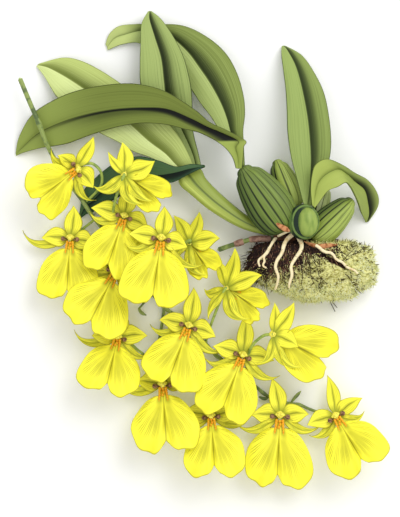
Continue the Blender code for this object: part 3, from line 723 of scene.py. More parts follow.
def remap(tree, value, low, high, to_low=0.0, to_high=1.0):
    """A value moved smoothly from one range to another."""
    made = add(tree, "ShaderNodeMapRange", {"interpolation_type": "SMOOTHSTEP"}, Value=value)
    made.inputs["From Min"].default_value = low
    made.inputs["From Max"].default_value = high
    made.inputs["To Min"].default_value = to_low
    made.inputs["To Max"].default_value = to_high
    return made.outputs[0]


def blade_axes(tree):
    """How far across, from 0 to 1, and how far along a point is on its own surface."""
    uv = add(tree, "ShaderNodeUVMap", {"uv_map": "blade"})
    split = add(tree, "ShaderNodeSeparateXYZ", i0=uv.outputs[0])
    return uv.outputs[0], split.outputs[0], split.outputs[1]


def own_axes(tree, middle=(0, 0, 0)):
    """A point's three coordinates on its piece, counted from a middle."""
    place = add(tree, "ShaderNodeTexCoord")
    shift = tuple(-part for part in middle)
    moved = add(tree, "ShaderNodeMapping", Vector=place.outputs["Object"], Location=shift)
    return add(tree, "ShaderNodeSeparateXYZ", i0=moved.outputs[0]).outputs


def attribute(tree, name):
    """The value that a mesh holds under a name."""
    return add(tree, "ShaderNodeAttribute", {"attribute_name": name}).outputs["Fac"]


def object_noise(tree, scale, detail=3.0, stretch=(1, 1, 1)):
    """Noise over the piece's own coordinates."""
    place = add(tree, "ShaderNodeTexCoord")
    spread = add(tree, "ShaderNodeMapping", Vector=place.outputs["Object"], Scale=stretch)
    made = add(tree, "ShaderNodeTexNoise", Vector=spread.outputs[0], Scale=scale, Detail=detail)
    return made.outputs[0]


def blade_noise(tree, uv, across, along, detail=2.0):
    """Noise that is drawn out along a blade, with so many cells across and along it."""
    spread = add(tree, "ShaderNodeMapping", Vector=uv, Scale=(across, along, 1))
    made = add(tree, "ShaderNodeTexNoise", Vector=spread.outputs[0], Scale=1.0, Detail=detail)
    return made.outputs[0]


def stripes(tree, position, count, width):
    """Thin lines: 1 on a line and 0 between, with count of them over the range."""
    cell = calc(tree, "FRACT", product(tree, position, count))
    away = apart(tree, cell, 0.5)
    return remap(tree, away, 0.0, width, 1.0, 0.0)


def look(name, roughness=0.5, coat=0.0, specular=0.35):
    """A new Principled material: the material, its tree and its shader."""
    made = bpy.data.materials.new(name)
    made.use_nodes = True
    tree = made.node_tree
    shader = tree.nodes["Principled BSDF"]
    shader.inputs["Roughness"].default_value = roughness
    shader.inputs["Coat Weight"].default_value = coat
    shader.inputs["Specular IOR Level"].default_value = specular
    return made, tree, shader


def bump(tree, shader, height, strength, distance=0.0004):
    """Adds relief to a shader."""
    made = add(tree, "ShaderNodeBump", Height=height, Strength=strength, Distance=distance)
    tree.links.new(made.outputs[0], shader.inputs["Normal"])


def leaf_look(name):
    """Leathery leaf: a plain half, a half with painted shade darkening to the midrib, a painted shadow beside
    it, and lengthwise lines.
    """
    plain, shaded_edge, shaded_inner, channel_shadow, dark_side, reach = LEAF_PAINT[name]
    lines = bpy.context.scene.orchid_leaves.lines
    made, tree, shader = look(name + "_green", roughness=0.55, specular=0.16)
    uv, across, along = blade_axes(tree)
    offset = calc(tree, "SUBTRACT", across, 0.5)
    away = calc(tree, "ABSOLUTE", offset)
    cloud = blade_noise(tree, uv, 2.6, 2.4)
    side = product(tree, offset, float(dark_side))
    lighter = product(tree, remap(tree, away, 0.06, 0.3), remap(tree, cloud, 0.35, 0.65, 0.1, 0.5))
    base = mixed(tree, lighter, paint(plain), paint(shaded_edge))
    # Painted shade on the shaded half, darkest by the midrib
    shade = remap(tree, calc(tree, "ADD", away, product(tree, cloud, 0.12)), 0.1, 0.42)
    shaded = mixed(tree, shade, paint(shaded_inner), paint(shaded_edge))
    base = mixed(tree, remap(tree, side, -0.012, 0.012), base, shaded)
    fine = blade_noise(tree, uv, lines, 1.2, 3.0)
    base = mixed(tree, remap(tree, fine, 0.48, 0.72, 0.0, 0.5), base, paint(shaded_inner))
    base = mixed(tree, remap(tree, fine, 0.3, 0.46, 0.4, 0.0), base, paint(plain))
    for begins, whole, colour in PALE_STRETCHES.get(name, []):
        ends = (0.0, 1.0) if begins < whole else (1.0, 0.0)
        stretch = remap(tree, along, min(begins, whole), max(begins, whole), *ends)
        paler = product(tree, stretch, remap(tree, away, 0.0, 0.16, 0.4, 0.85))
        base = mixed(tree, paler, base, paint(colour))
    # Where along the leaf the painted shadow in the channel comes and goes
    comes, full, fading, gone = reach
    ends = product(tree, remap(tree, along, comes, full), remap(tree, along, fading, gone, 1.0, 0.0))
    at_base, further, starts, settles, fades = CHANNEL_SHADOWS[name]
    band = remap(tree, along, starts, settles, at_base / 2, further / 2)
    inward = calc(tree, "DIVIDE", side, band)
    # The painted shadow in the channel: beside the midrib on the shaded half, fading across its breadth
    channel_shadow_mask = product(tree, remap(tree, side, -0.01, 0.006), remap(tree, inward, fades, 1.0, 1.0, 0.0))
    channel_shadow_mask = calc(tree, "POWER", product(tree, channel_shadow_mask, ends), 0.6)
    base = mixed(tree, channel_shadow_mask, base, paint(channel_shadow))
    midrib = product(tree, remap(tree, away, 0.006, 0.02, 1.0, 0.0), 0.9)
    base = mixed(tree, midrib, base, paint(shaded_inner))
    rim = product(tree, remap(tree, away, 0.476, 0.494), 0.9)
    base = mixed(tree, rim, base, paint(shaded_inner))
    tree.links.new(base, shader.inputs["Base Color"])
    tree.links.new(remap(tree, fine, 0.3, 0.7, 0.48, 0.62), shader.inputs["Roughness"])
    bump(tree, shader, fine, 0.2)
    return made


def tepal_look(name, tint, line_strength):
    """Sepals and petals: yellow, with an olive middle line and a few lengthwise veins."""
    settings = bpy.context.scene.orchid_flowers
    made, tree, shader = look(name, roughness=0.5, specular=0.2)
    uv, across, along = blade_axes(tree)
    wander = product(tree, calc(tree, "SUBTRACT", blade_noise(tree, uv, 2, 3), 0.5), 0.12)
    moved = calc(tree, "ADD", across, wander)
    away = apart(tree, moved, 0.5)
    cloud = blade_noise(tree, uv, 3.0, 2.0)
    base = mixed(tree, remap(tree, cloud, 0.35, 0.7), tuple(settings.tepal_colour), paint(tint))
    middle = product(tree, remap(tree, away, 0.02, 0.14, 1.0, 0.0), remap(tree, along, 0.5, 1.0, 0.9, 0.2))
    base = mixed(tree, middle, base, paint("#aeb02a"))
    lines = product(tree, stripes(tree, moved, 9, 0.17), remap(tree, along, 0.6, 1.0, line_strength, 0.1))
    base = mixed(tree, lines, base, tuple(settings.vein_colour))
    core = product(tree, remap(tree, away, 0.0, 0.03, 1.0, 0.0), remap(tree, along, 0.6, 1.0, 0.9, 0.0))
    base = mixed(tree, core, base, paint("#747413"))
    foot = remap(tree, along, 0.0, 0.3, 0.85, 0.0)
    base = mixed(tree, foot, base, paint("#8d9626"))
    edge = apart(tree, across, 0.5)
    rim = product(tree, remap(tree, edge, 0.455, 0.495), 0.85)
    base = mixed(tree, rim, base, paint("#a39a1c"))
    tree.links.new(base, shader.inputs["Base Color"])
    bump(tree, shader, lines, 0.3)
    return made


def lip_look():
    """The lip: lemon yellow with fine veins that fan out and fork, olive painted shade in its groove and in
    the hollow and folds beside it, and a shaded claw.
    """
    settings = bpy.context.scene.orchid_flowers
    made, tree, shader = look("lip_yellow", roughness=0.5, specular=0.2)
    uv, across, along = blade_axes(tree)
    wander = product(tree, calc(tree, "SUBTRACT", blade_noise(tree, uv, 5, 4), 0.5), 0.03)
    moved = calc(tree, "ADD", across, wander)
    away = apart(tree, across, 0.5)
    cloud = blade_noise(tree, uv, 4.0, 2.5)
    base = mixed(tree, remap(tree, cloud, 0.4, 0.75), tuple(settings.lip_colour), paint("#efe836"))
    coarse = product(tree, stripes(tree, moved, settings.lip_veins / 2, 0.1), 0.9)
    fine = product(tree, stripes(tree, moved, settings.lip_veins, 0.16), remap(tree, along, 0.4, 0.62))
    fade = product(tree, remap(tree, along, 0.24, 0.4), remap(tree, along, 0.72, 0.97, 1.0, 0.0))
    patch = remap(tree, blade_noise(tree, uv, 3.4, 1.4), 0.36, 0.62, 0.15, 1.0)
    veins = product(tree, product(tree, calc(tree, "MAXIMUM", coarse, fine), fade), patch)
    base = mixed(tree, product(tree, veins, 0.8), base, tuple(settings.vein_colour))
    flush = product(tree, remap(tree, away, 0.05, 0.16), remap(tree, away, 0.2, 0.34, 1.0, 0.0))
    flush = product(tree, flush, remap(tree, along, 0.2, 0.32))
    flush = product(tree, flush, remap(tree, along, 0.5, 0.9, 1.0, 0.0))
    base = mixed(tree, product(tree, flush, 0.55), base, paint("#b0ab20"))
    # Painted shade in the hollow on both sides of the groove, from the claw to past the middle
    groove_side_shade = remap(tree, away, 0.015, 0.085, 0.75, 0.0)
    groove_side_shade = product(tree, groove_side_shade, remap(tree, along, 0.45, 0.95, 1.0, 0.0))
    base = mixed(tree, groove_side_shade, base, paint("#aca41e"))
    # Painted shade in the groove itself: a dark olive line down the middle
    groove = remap(tree, away, 0.004, 0.024, 1.0, 0.0)
    groove = product(tree, groove, remap(tree, along, 0.5, 0.97, 0.95, 0.5))
    base = mixed(tree, groove, base, paint("#7f7a12"))
    # Painted shade in fine folds beside the groove
    fold_shade = product(tree, stripes(tree, calc(tree, "ADD", away, -0.035), 28, 0.35), 0.5)
    fold_shade = product(tree, fold_shade, remap(tree, away, 0.05, 0.09, 1.0, 0.0))
    base = mixed(tree, product(tree, fold_shade, remap(tree, along, 0.4, 0.9, 1.0, 0.0)), base, paint("#a7a01c"))
    claw = product(tree, remap(tree, along, 0.14, 0.34, 0.85, 0.0), remap(tree, away, 0.08, 0.36, 0.25, 1.0))
    base = mixed(tree, claw, base, paint("#8a8a1e"))
    rim = calc(tree, "MAXIMUM", remap(tree, along, 0.978, 0.994), remap(tree, away, 0.488, 0.497))
    base = mixed(tree, product(tree, rim, 0.7), base, paint("#b5ab22"))
    tree.links.new(base, shader.inputs["Base Color"])
    bump(tree, shader, veins, 0.35)
    return made


def spotted_look(name, base, spots, scale, roughness, relief=0.3, low=0.45, high=0.62):
    """A colour with blotches of another over the piece's own coordinates."""
    made, tree, shader = look(name, roughness=roughness)
    cloud = object_noise(tree, scale, 4.0)
    fine = object_noise(tree, scale * 4.2, 3.0)
    colour = mixed(tree, remap(tree, cloud, low, high), paint(base), paint(spots))
    colour = mixed(tree, remap(tree, fine, 0.5, 0.75, 0.0, 0.35), colour, paint(spots))
    tree.links.new(colour, shader.inputs["Base Color"])
    bump(tree, shader, fine, relief)
    return made


def bulb_look(name, high, middle, highlight_share, lit_groove_shade):
    """Bulb skin: green ribs, grooves with near-black painted shade, a painted highlight on the flank towards
    the light, and a darker flank away from the light, which is painted shade.
    """
    settings = bpy.context.scene.orchid_bulbs
    made, tree, shader = look(name, roughness=0.48, coat=0.04, specular=0.22)
    uv, _, along = blade_axes(tree)
    depth = attribute(tree, "groove")
    flank = attribute(tree, "flank")
    fine = blade_noise(tree, uv, 120, 2.4, 3.0)
    cloud = blade_noise(tree, uv, 14, 1.6, 3.0)
    base = mixed(tree, remap(tree, cloud, 0.35, 0.65), high, paint(middle))
    # A painted highlight on the flank that faces the light
    flank_highlight = product(tree, remap(tree, flank, -0.3, 0.4), remap(tree, flank, 0.6, 1.0, 1.0, 0.3))
    base = mixed(tree, product(tree, flank_highlight, highlight_share), base, paint("#a3b45a"))
    base = mixed(tree, remap(tree, fine, 0.48, 0.72, 0.0, 0.6), base, paint("#39491c"))
    # Painted shade on the flank away from the light
    base = mixed(tree, remap(tree, flank, -0.95, -0.1, 0.85, 0.0), base, paint("#3c5122"))
    # Painted shade in the grooves, nearly black, and weaker on the lit flank
    low = calc(tree, "POWER", remap(tree, depth, 0.04, 0.6), 0.8)
    low = product(tree, low, remap(tree, flank, -0.5, 0.6, 1.0, lit_groove_shade))
    base = mixed(tree, low, base, tuple(settings.groove_shade_colour))
    foot = remap(tree, along, 0.0, 0.14, 0.85, 0.0)
    ends = calc(tree, "MAXIMUM", foot, remap(tree, along, 0.9, 1.0, 0.0, 0.4))
    base = mixed(tree, ends, base, paint("#2a3a16"))
    tree.links.new(base, shader.inputs["Base Color"])
    tree.links.new(remap(tree, fine, 0.3, 0.7, 0.42, 0.56), shader.inputs["Roughness"])
    bump(tree, shader, fine, 0.2)
    return made


def sheath_look():
    """The new growth: yellow-green with a darker fold, a painted highlight and lengthwise lines."""
    made, tree, shader = look("sheath_skin", roughness=0.44, specular=0.4)
    uv, across, along = blade_axes(tree)
    fine = blade_noise(tree, uv, 60, 2.0, 3.0)
    base = mixed(tree, remap(tree, across, 0.55, 0.9), paint("#99a845"), paint("#8c9b3c"))
    fold = apart(tree, across, 0.75)
    base = mixed(tree, remap(tree, fold, 0.0, 0.03, 0.85, 0.0), base, paint("#46571f"))
    # A painted highlight along the lower strip
    light = apart(tree, across, 0.66)
    glint = product(tree, remap(tree, light, 0.0, 0.07, 0.75, 0.0), remap(tree, along, 0.2, 0.6, 0.3, 1.0))
    base = mixed(tree, glint, base, paint("#cfdc74"))
    edge = apart(tree, across, 0.5)
    base = mixed(tree, remap(tree, edge, 0.42, 0.5, 0.0, 0.8), base, paint("#566a2a"))
    base = mixed(tree, remap(tree, along, 0.0, 0.3, 0.6, 0.0), base, paint("#55661f"))
    base = mixed(tree, remap(tree, fine, 0.5, 0.75, 0.0, 0.5), base, paint("#5f7028"))
    tree.links.new(base, shader.inputs["Base Color"])
    bump(tree, shader, fine, 0.2)
    return made


def clump_look():
    """The clump: dark fibres where little of it is moss, and pale green moss with specks where much is."""
    made, tree, shader = look("clump_skin", roughness=0.95, specular=0.1)
    share = attribute(tree, "moss")
    specks = object_noise(tree, 900.0, 4.0)
    dark = mixed(tree, remap(tree, specks, 0.42, 0.66), paint("#170a08"), paint("#4a2c20"))
    green = mixed(tree, remap(tree, specks, 0.36, 0.5), paint("#a39c4c"), paint("#e0de98"))
    tree.links.new(mixed(tree, remap(tree, share, 0.25, 0.7), dark, green), shader.inputs["Base Color"])
    bump(tree, shader, specks, 0.6, 0.0008)
    return made


def pale_moss_look():
    """Moss shoots: pale yellow-green, and palest at the clump's lower and right sides."""
    made, tree, shader = look("moss_pale", roughness=0.9)
    aside, forward, _ = own_axes(tree)
    low = remap(tree, forward, -9 * MM, 0.0, 1.0, 0.0)
    rim = calc(tree, "MAXIMUM", low, remap(tree, aside, 14 * MM, 26 * MM))
    patches = remap(tree, object_noise(tree, 300.0, 4.0), 0.42, 0.62)
    near = mixed(tree, patches, paint("#ece9a2"), paint("#c6c166"))
    far = mixed(tree, patches, paint("#f6f8cc"), paint("#dfe39e"))
    tree.links.new(mixed(tree, rim, near, far), shader.inputs["Base Color"])
    return made


def callus_look():
    """The callus: orange with grains of yellow."""
    made, tree, shader = look("callus_orange", roughness=0.45)
    grain = remap(tree, object_noise(tree, 1500.0), 0.4, 0.7)
    orange = tuple(bpy.context.scene.orchid_flowers.callus_colour)
    tree.links.new(mixed(tree, grain, orange, paint("#e2c81c")), shader.inputs["Base Color"])
    return made


def leaf_point(rows, bulge):
    """The surface of a leaf through its rows, as a function of across and along."""
    tracks = [[sheet(*row[column], row[3 + column]) for row in rows] for column in range(3)]

    def point(across, along):
        position = along * (len(rows) - 1)
        edge, midrib, other = (blend(track, position) for track in tracks)
        target = edge if across < 0 else other
        share = abs(across)
        swell = (target - midrib).length * bulge * math.sin(math.pi * share**0.8)
        return midrib.lerp(target, share) + Vector((0, 0, swell))

    return point


def build_leaf(name):
    """One leaf in place of its plain solid."""
    settings = bpy.context.scene.orchid_leaves
    point = leaf_point(LEAF_ROWS[name], settings.bulge)
    mesh = surface_mesh(name + "_blade", LEAF_GRID[0], LEAF_GRID[1], point)
    slot = LEAF_SLOTS.get(name, "leaf")
    return sheet_piece(name + "_blade", mesh, settings.thickness, leaf_look(name), slot, [name])


def rounding(share, length, least=0.0):
    """How wide a round end is at a share of the whole, where the rounding has a length of its own."""
    if share >= length:
        return 1.0
    return max(least, math.sqrt(max(0.0, 1 - (1 - share / length) ** 2)))


def lens_mesh(name, line, half_widths, tops, bottoms, rows=40, columns=40, ridge=0.0):
    """A closed body over a line: as wide as half_widths, with its own height above and below the line."""
    last = len(line) - 1

    def point(across, along):
        position = along * last
        middle = blend(line, position)
        ahead = blend(line, min(position + 0.05, last)) - blend(line, max(position - 0.05, 0))
        side = Vector((-ahead.y, ahead.x, 0)).normalized()
        angle = math.pi * across
        half = blend(half_widths, position)
        rise = blend(tops, position) if math.sin(angle) > 0 else blend(bottoms, position)
        lift = rise * math.sin(angle)
        if math.sin(angle) > 0:
            lift += ridge * half * math.exp(-(((math.cos(angle) - 0.25) / 0.12) ** 2))
        cap = rounding(min(along, 1 - along), CAP_LENGTH, CAP_LEAST)
        return middle + side * (half * math.cos(angle) * cap) + Vector((0, 0, lift * cap))

    mesh = surface_mesh(name, rows, columns, point, closed=True)
    return closed_ends(mesh, rows, columns)


def closed_ends(mesh, rows, columns):
    """Closes both ends of a tube-like grid and turns its faces outwards."""
    build = bmesh.new()
    build.from_mesh(mesh)
    build.verts.ensure_lookup_table()
    layer = build.loops.layers.uv[0]
    rings = []
    for start, along in ((0, 0.0), (rows * columns, 1.0)):
        rings.append(([build.verts[start + index] for index in range(columns)], along))
    for ring, along in rings:
        middle = build.verts.new(sum((vert.co for vert in ring), Vector()) / columns)
        for index in range(columns):
            face = build.faces.new((ring[index], ring[(index + 1) % columns], middle))
            for loop, step in zip(face.loops, (0, 1, 0.5)):
                loop[layer].uv = ((index + step) / columns, along)
    bmesh.ops.recalc_face_normals(build, faces=build.faces[:])
    if build.calc_volume(signed=True) < 0:
        bmesh.ops.reverse_faces(build, faces=build.faces[:])
    build.to_mesh(mesh)
    build.free()
    return mesh


def build_bulb(name, values, skin):
    """A bulb with lengthwise grooves, held as attributes for its paint as well."""
    settings = bpy.context.scene.orchid_bulbs
    base, apex, base_height, apex_height, width, depth, ribs = values
    start, end = sheet(*base, base_height), sheet(*apex, apex_height)
    along_axis = (end - start).normalized()
    side = Vector((0, 0, 1)).cross(along_axis).normalized()
    up = along_axis.cross(side).normalized()
    rows, columns = BULB_GRID
    length = (end - start).length
    dark_angle = 0.0 if side.x < 0 else math.pi

    def groove_at(angle, along):
        cell = math.cos(ribs * angle + 0.9 * math.sin(2 * angle) + 0.5 * math.sin(3 * angle))
        strength = 0.55 + 0.45 * noise.noise(Vector((angle * 2.2, 0.3, length * 40)))
        lit = 0.5 + 0.5 * math.cos(angle - dark_angle + math.pi)
        broad = 1.2 + 11 * lit**1.5
        return max(0.0, cell) ** broad * math.sin(math.pi * along) ** 0.4 * min(1, max(0, strength * 1.5))

    def point(across, along):
        angle = math.pi * across
        share = 0.5 - 0.5 * math.cos(math.pi * off_poles(along))
        reach = blend(BULB_PROFILE, min(share, 1 - BULB_TIP) * (len(BULB_PROFILE) - 1))
        reach *= rounding(share, BULB_FOOT) * rounding(1 - share, BULB_TIP)
        reach *= 1 - settings.rib_depth * groove_at(angle, along)
        offset = side * math.cos(angle) * width / 2 + up * math.sin(angle) * depth / 2
        return start.lerp(end, share) + offset * reach * MM

    mesh = surface_mesh(name + "_body", rows, columns, point, closed=True)
    closed_ends(mesh, rows, columns)
    # The groove depth and the way each point faces, which the painted shade in the grooves and on the far
    # flank and the painted highlight follow
    groove = mesh.attributes.new("groove", "FLOAT", "POINT")
    flank = mesh.attributes.new("flank", "FLOAT", "POINT")
    for index in range(len(mesh.vertices)):
        if index < (rows + 1) * columns:
            row, column = divmod(index, columns)
            angle = math.pi * (-1 + 2 * column / columns)
            groove.data[index].value = groove_at(angle, row / rows)
            flank.data[index].value = math.cos(angle) * (1 if side.x > 0 else -1)
    item = new_object(name + "_body", mesh)
    return finished(item, skin, "pseudobulb", [name])


def egg(middle, half):
    """The surface of an upright egg, as a function of across and along."""

    def point(across, along):
        angle = math.pi * across
        share = math.pi * off_poles(along)
        ring = math.sin(share)
        round_part = (math.cos(angle) * ring, -math.cos(share), math.sin(angle) * ring)
        return middle + Vector(part * size for part, size in zip(round_part, half))

    return point


def young_face_look(middle):
    """The young bulb's face: plain green, with painted shade that darkens its left side."""
    skin, tree, shader = look("young_bulb_skin", roughness=0.45, coat=0.05, specular=0.25)
    aside = own_axes(tree, middle)[0]
    cloud = object_noise(tree, 240.0, 3.0, (2, 0.6, 1))
    colour = mixed(tree, remap(tree, cloud, 0.4, 0.7), paint("#8fa34d"), paint("#768d3f"))
    # Painted shade on the left side
    left = remap(tree, aside, -5.2 * MM, -2.8 * MM, 0.9, 0.0)
    tree.links.new(mixed(tree, left, colour, paint("#40602c")), shader.inputs["Base Color"])
    bump(tree, shader, cloud, 0.15)
    return skin


def young_sheath_look(middle):
    """The young bulb's sheath: painted shade, nearly black, on the left inside a green margin, and green on
    the right.
    """
    skin, tree, shader = look("young_sheath_skin", roughness=0.45, coat=0.05, specular=0.25)
    aside = own_axes(tree, middle)[0]
    fine = object_noise(tree, 260.0, 3.0, (3, 0.5, 1))
    # Painted shade: the left side nearly black
    dark = remap(tree, aside, -2.0 * MM, 5.0 * MM, 1.0, 0.0)
    colour = mixed(tree, dark, paint("#86a048"), paint("#12261a"))
    margin = remap(tree, aside, -6.6 * MM, -5.2 * MM, 1.0, 0.0)
    colour = mixed(tree, margin, colour, paint("#5c7a3a"))
    colour = mixed(tree, remap(tree, fine, 0.5, 0.7, 0.0, 0.4), colour, paint("#31491f"))
    tree.links.new(colour, shader.inputs["Base Color"])
    bump(tree, shader, fine, 0.2)
    return skin


def build_young_bulb():
    """The young bulb: a smooth oval face that leans out of a sheath, darkened on its left by painted shade,
    with a rounded rim.
    """
    base, apex, base_height, apex_height, width, depth = YOUNG_BULB
    start, end = sheet(*base, base_height), sheet(*apex, apex_height)
    middle = (start + end) / 2 + YOUNG_SHEATH_SHIFT
    half = Vector((width * 0.53 * MM, (end - start).length * 0.5, depth * 0.5 * MM))
    face_middle = middle + YOUNG_FACE_SHIFT
    face, sheath = "pseudobulb_young_face", "pseudobulb_young_sheath"
    rows, columns = 40, 48
    bodies = (
        (face, face_middle, YOUNG_FACE_HALF, young_face_look(face_middle), ["pseudobulb_young"]),
        (sheath, middle, half, young_sheath_look(middle), []),
    )
    for name, centre, sizes, skin, nodes in bodies:
        mesh = surface_mesh(name, rows, columns, egg(centre, sizes), closed=True)
        closed_ends(mesh, rows, columns)
        finished(new_object(name, mesh), skin, "pseudobulb", nodes)
    rim = []
    for step in range(YOUNG_RIM_STEPS + 1):
        angle = 2 * math.pi * step / YOUNG_RIM_STEPS
        right = YOUNG_RIM_ASIDE + math.cos(angle) * YOUNG_RIM_HALF[0]
        spot = Vector((right, math.sin(angle) * YOUNG_RIM_HALF[1], 0))
        out = 1 - (spot.x / half.x) ** 2 - (spot.y / half.y) ** 2
        spot.z = half.z * math.sqrt(max(0.02, out)) - 0.1 * MM
        rim.append(middle + spot)
    lit = spotted_look("young_rim", "#66803a", "#3f5a2a", 260.0, 0.5, 0.1)
    stem_piece("pseudobulb_young_rim", rim, (0.6 * MM, 0.6 * MM), lit, "pseudobulb", (), 0.0)


def ground_height(ground, place, otherwise=None):
    """The height of a surface under a place, or another value where there is none."""
    hit = ground.ray_cast(Vector((place.x, place.y, PROBE_FROM)), Vector((0, 0, -1)))[0]
    return hit.z if hit else otherwise


def stem_tree():
    """Geometry Nodes: a round stem along a line, tapering, with soft lumps."""
    tree = bpy.data.node_groups.new("Stem Along A Line", "GeometryNodeTree")
    face = tree.interface
    face.new_socket("Geometry", in_out="INPUT", socket_type="NodeSocketGeometry")
    sizes = (("Start Radius", 1.0 * MM), ("End Radius", 0.7 * MM), ("Lumps", 0.05), ("Lump Scale", 300.0))
    for name, value in sizes:
        socket = face.new_socket(name, in_out="INPUT", socket_type="NodeSocketFloat")
        socket.default_value = value
    sides = face.new_socket("Sides", in_out="INPUT", socket_type="NodeSocketInt")
    sides.default_value = 14
    face.new_socket("Material", in_out="INPUT", socket_type="NodeSocketMaterial")
    face.new_socket("Geometry", in_out="OUTPUT", socket_type="NodeSocketGeometry")
    start = tree.nodes.new("NodeGroupInput")
    end = tree.nodes.new("NodeGroupOutput")
    curve = add(tree, "GeometryNodeMeshToCurve", Mesh=start.outputs["Geometry"])
    along = add(tree, "GeometryNodeSplineParameter")
    thick = add(tree, "ShaderNodeMapRange", Value=along.outputs["Factor"])
    tree.links.new(start.outputs["Start Radius"], thick.inputs["To Min"])
    tree.links.new(start.outputs["End Radius"], thick.inputs["To Max"])
    sized = add(tree, "GeometryNodeSetCurveRadius", Curve=curve.outputs[0], Radius=thick.outputs[0])
    ring = add(tree, "GeometryNodeCurvePrimitiveCircle", Radius=1.0)
    tree.links.new(start.outputs["Sides"], ring.inputs["Resolution"])
    tube = add(tree, "GeometryNodeCurveToMesh", Curve=sized.outputs[0], Fill_Caps=True)
    tree.links.new(ring.outputs["Curve"], tube.inputs["Profile Curve"])
    radius = add(tree, "GeometryNodeInputRadius")
    tree.links.new(radius.outputs[0], tube.inputs["Scale"])
    texture = add(tree, "ShaderNodeTexNoise")
    tree.links.new(start.outputs["Lump Scale"], texture.inputs["Scale"])
    centred = calc(tree, "SUBTRACT", texture.outputs[0], 0.5)
    amount = product(tree, centred, start.outputs["Lumps"])
    size = product(tree, amount, start.outputs["Start Radius"])
    normal = add(tree, "GeometryNodeInputNormal")
    offset = add(tree, "ShaderNodeVectorMath", {"operation": "SCALE"}, i0=normal.outputs[0], Scale=size)
    moved = add(tree, "GeometryNodeSetPosition", Geometry=tube.outputs[0], Offset=offset.outputs[0])
    real = add(tree, "GeometryNodeRealizeInstances", Geometry=moved.outputs[0])
    smooth = add(tree, "GeometryNodeSetShadeSmooth", Geometry=real.outputs[0])
    painted = add(tree, "GeometryNodeSetMaterial", Geometry=smooth.outputs[0])
    tree.links.new(start.outputs["Material"], painted.inputs["Material"])
    tree.links.new(painted.outputs[0], end.inputs[0])
    return tree


def set_input(modifier, name, value):
    """Sets a modifier's input by the identifier of its socket."""
    for socket in modifier.node_group.interface.items_tree:
        if socket.item_type == "SOCKET" and socket.in_out == "INPUT" and socket.name == name:
            modifier[socket.identifier] = value
            return
    raise KeyError(name)


def stem_piece(name, line, radii, skin, slot, nodes=(), lumps=0.05, lump_scale=300.0, sides=14):
    """A stem, root or stalk along a line of points, or many along a list of lines."""
    tree = bpy.data.node_groups.get("Stem Along A Line") or stem_tree()
    mesh = bpy.data.meshes.new(name)
    lines = line if isinstance(line[0], list) else [line]
    points = []
    edges = []
    for one in lines:
        start = len(points)
        points += [tuple(point) for point in one]
        edges += [(start + index, start + index + 1) for index in range(len(one) - 1)]
    mesh.from_pydata(points, edges, [])
    item = new_object(name, mesh)
    modifier = item.modifiers.new("stem", "NODES")
    modifier.node_group = tree
    set_input(modifier, "Start Radius", radii[0])
    set_input(modifier, "End Radius", radii[1])
    set_input(modifier, "Lumps", lumps)
    set_input(modifier, "Lump Scale", lump_scale)
    set_input(modifier, "Sides", sides)
    set_input(modifier, "Material", skin)
    applied(item)
    return finished(item, skin, slot, nodes)


def scatter_tree():
    """Geometry Nodes: copies of a small piece over a surface, leaning out of it at random."""
    tree = bpy.data.node_groups.new("Scatter On Surface", "GeometryNodeTree")
    face = tree.interface
    face.new_socket("Geometry", in_out="INPUT", socket_type="NodeSocketGeometry")
    face.new_socket("Copy", in_out="INPUT", socket_type="NodeSocketObject")
    for name, value in (("Density", 1e6), ("Smallest", 0.6), ("Largest", 1.4), ("Lean", 0.9)):
        socket = face.new_socket(name, in_out="INPUT", socket_type="NodeSocketFloat")
        socket.default_value = value
    face.new_socket("Seed", in_out="INPUT", socket_type="NodeSocketInt")
    face.new_socket("Weight Name", in_out="INPUT", socket_type="NodeSocketString")
    face.new_socket("Material", in_out="INPUT", socket_type="NodeSocketMaterial")
    face.new_socket("Geometry", in_out="OUTPUT", socket_type="NodeSocketGeometry")
    start = tree.nodes.new("NodeGroupInput")
    end = tree.nodes.new("NodeGroupOutput")
    weight = add(tree, "GeometryNodeInputNamedAttribute", {"data_type": "FLOAT"})
    tree.links.new(start.outputs["Weight Name"], weight.inputs["Name"])
    density = product(tree, start.outputs["Density"], weight.outputs["Attribute"])
    points = add(tree, "GeometryNodeDistributePointsOnFaces", Mesh=start.outputs["Geometry"])
    tree.links.new(density, points.inputs["Density"])
    tree.links.new(start.outputs["Seed"], points.inputs["Seed"])
    lean = add(tree, "FunctionNodeRandomValue", {"data_type": "FLOAT_VECTOR"})
    lean.inputs["Min"].default_value = (-1, -1, -1)
    lean.inputs["Max"].default_value = (1, 1, 1)
    tree.links.new(start.outputs["Seed"], lean.inputs["Seed"])
    leaning = add(tree, "ShaderNodeVectorMath", {"operation": "SCALE"}, i0=lean.outputs[0])
    tree.links.new(start.outputs["Lean"], leaning.inputs["Scale"])
    sum_of = {"operation": "ADD"}
    direction = add(tree, "ShaderNodeVectorMath", sum_of, i0=points.outputs["Normal"], i1=leaning.outputs[0])
    turned = add(tree, "FunctionNodeAlignRotationToVector", {"axis": "Z"}, Vector=direction.outputs[0])
    size = add(tree, "FunctionNodeRandomValue", {"data_type": "FLOAT"})
    tree.links.new(start.outputs["Smallest"], size.inputs[2])
    tree.links.new(start.outputs["Largest"], size.inputs[3])
    info = add(tree, "GeometryNodeObjectInfo", Object=start.outputs["Copy"])
    copies = add(tree, "GeometryNodeInstanceOnPoints", Points=points.outputs["Points"])
    tree.links.new(info.outputs["Geometry"], copies.inputs["Instance"])
    tree.links.new(turned.outputs[0], copies.inputs["Rotation"])
    tree.links.new(size.outputs[1], copies.inputs["Scale"])
    real = add(tree, "GeometryNodeRealizeInstances", Geometry=copies.outputs[0])
    painted = add(tree, "GeometryNodeSetMaterial", Geometry=real.outputs[0])
    tree.links.new(start.outputs["Material"], painted.inputs["Material"])
    tree.links.new(painted.outputs[0], end.inputs[0])
    return tree


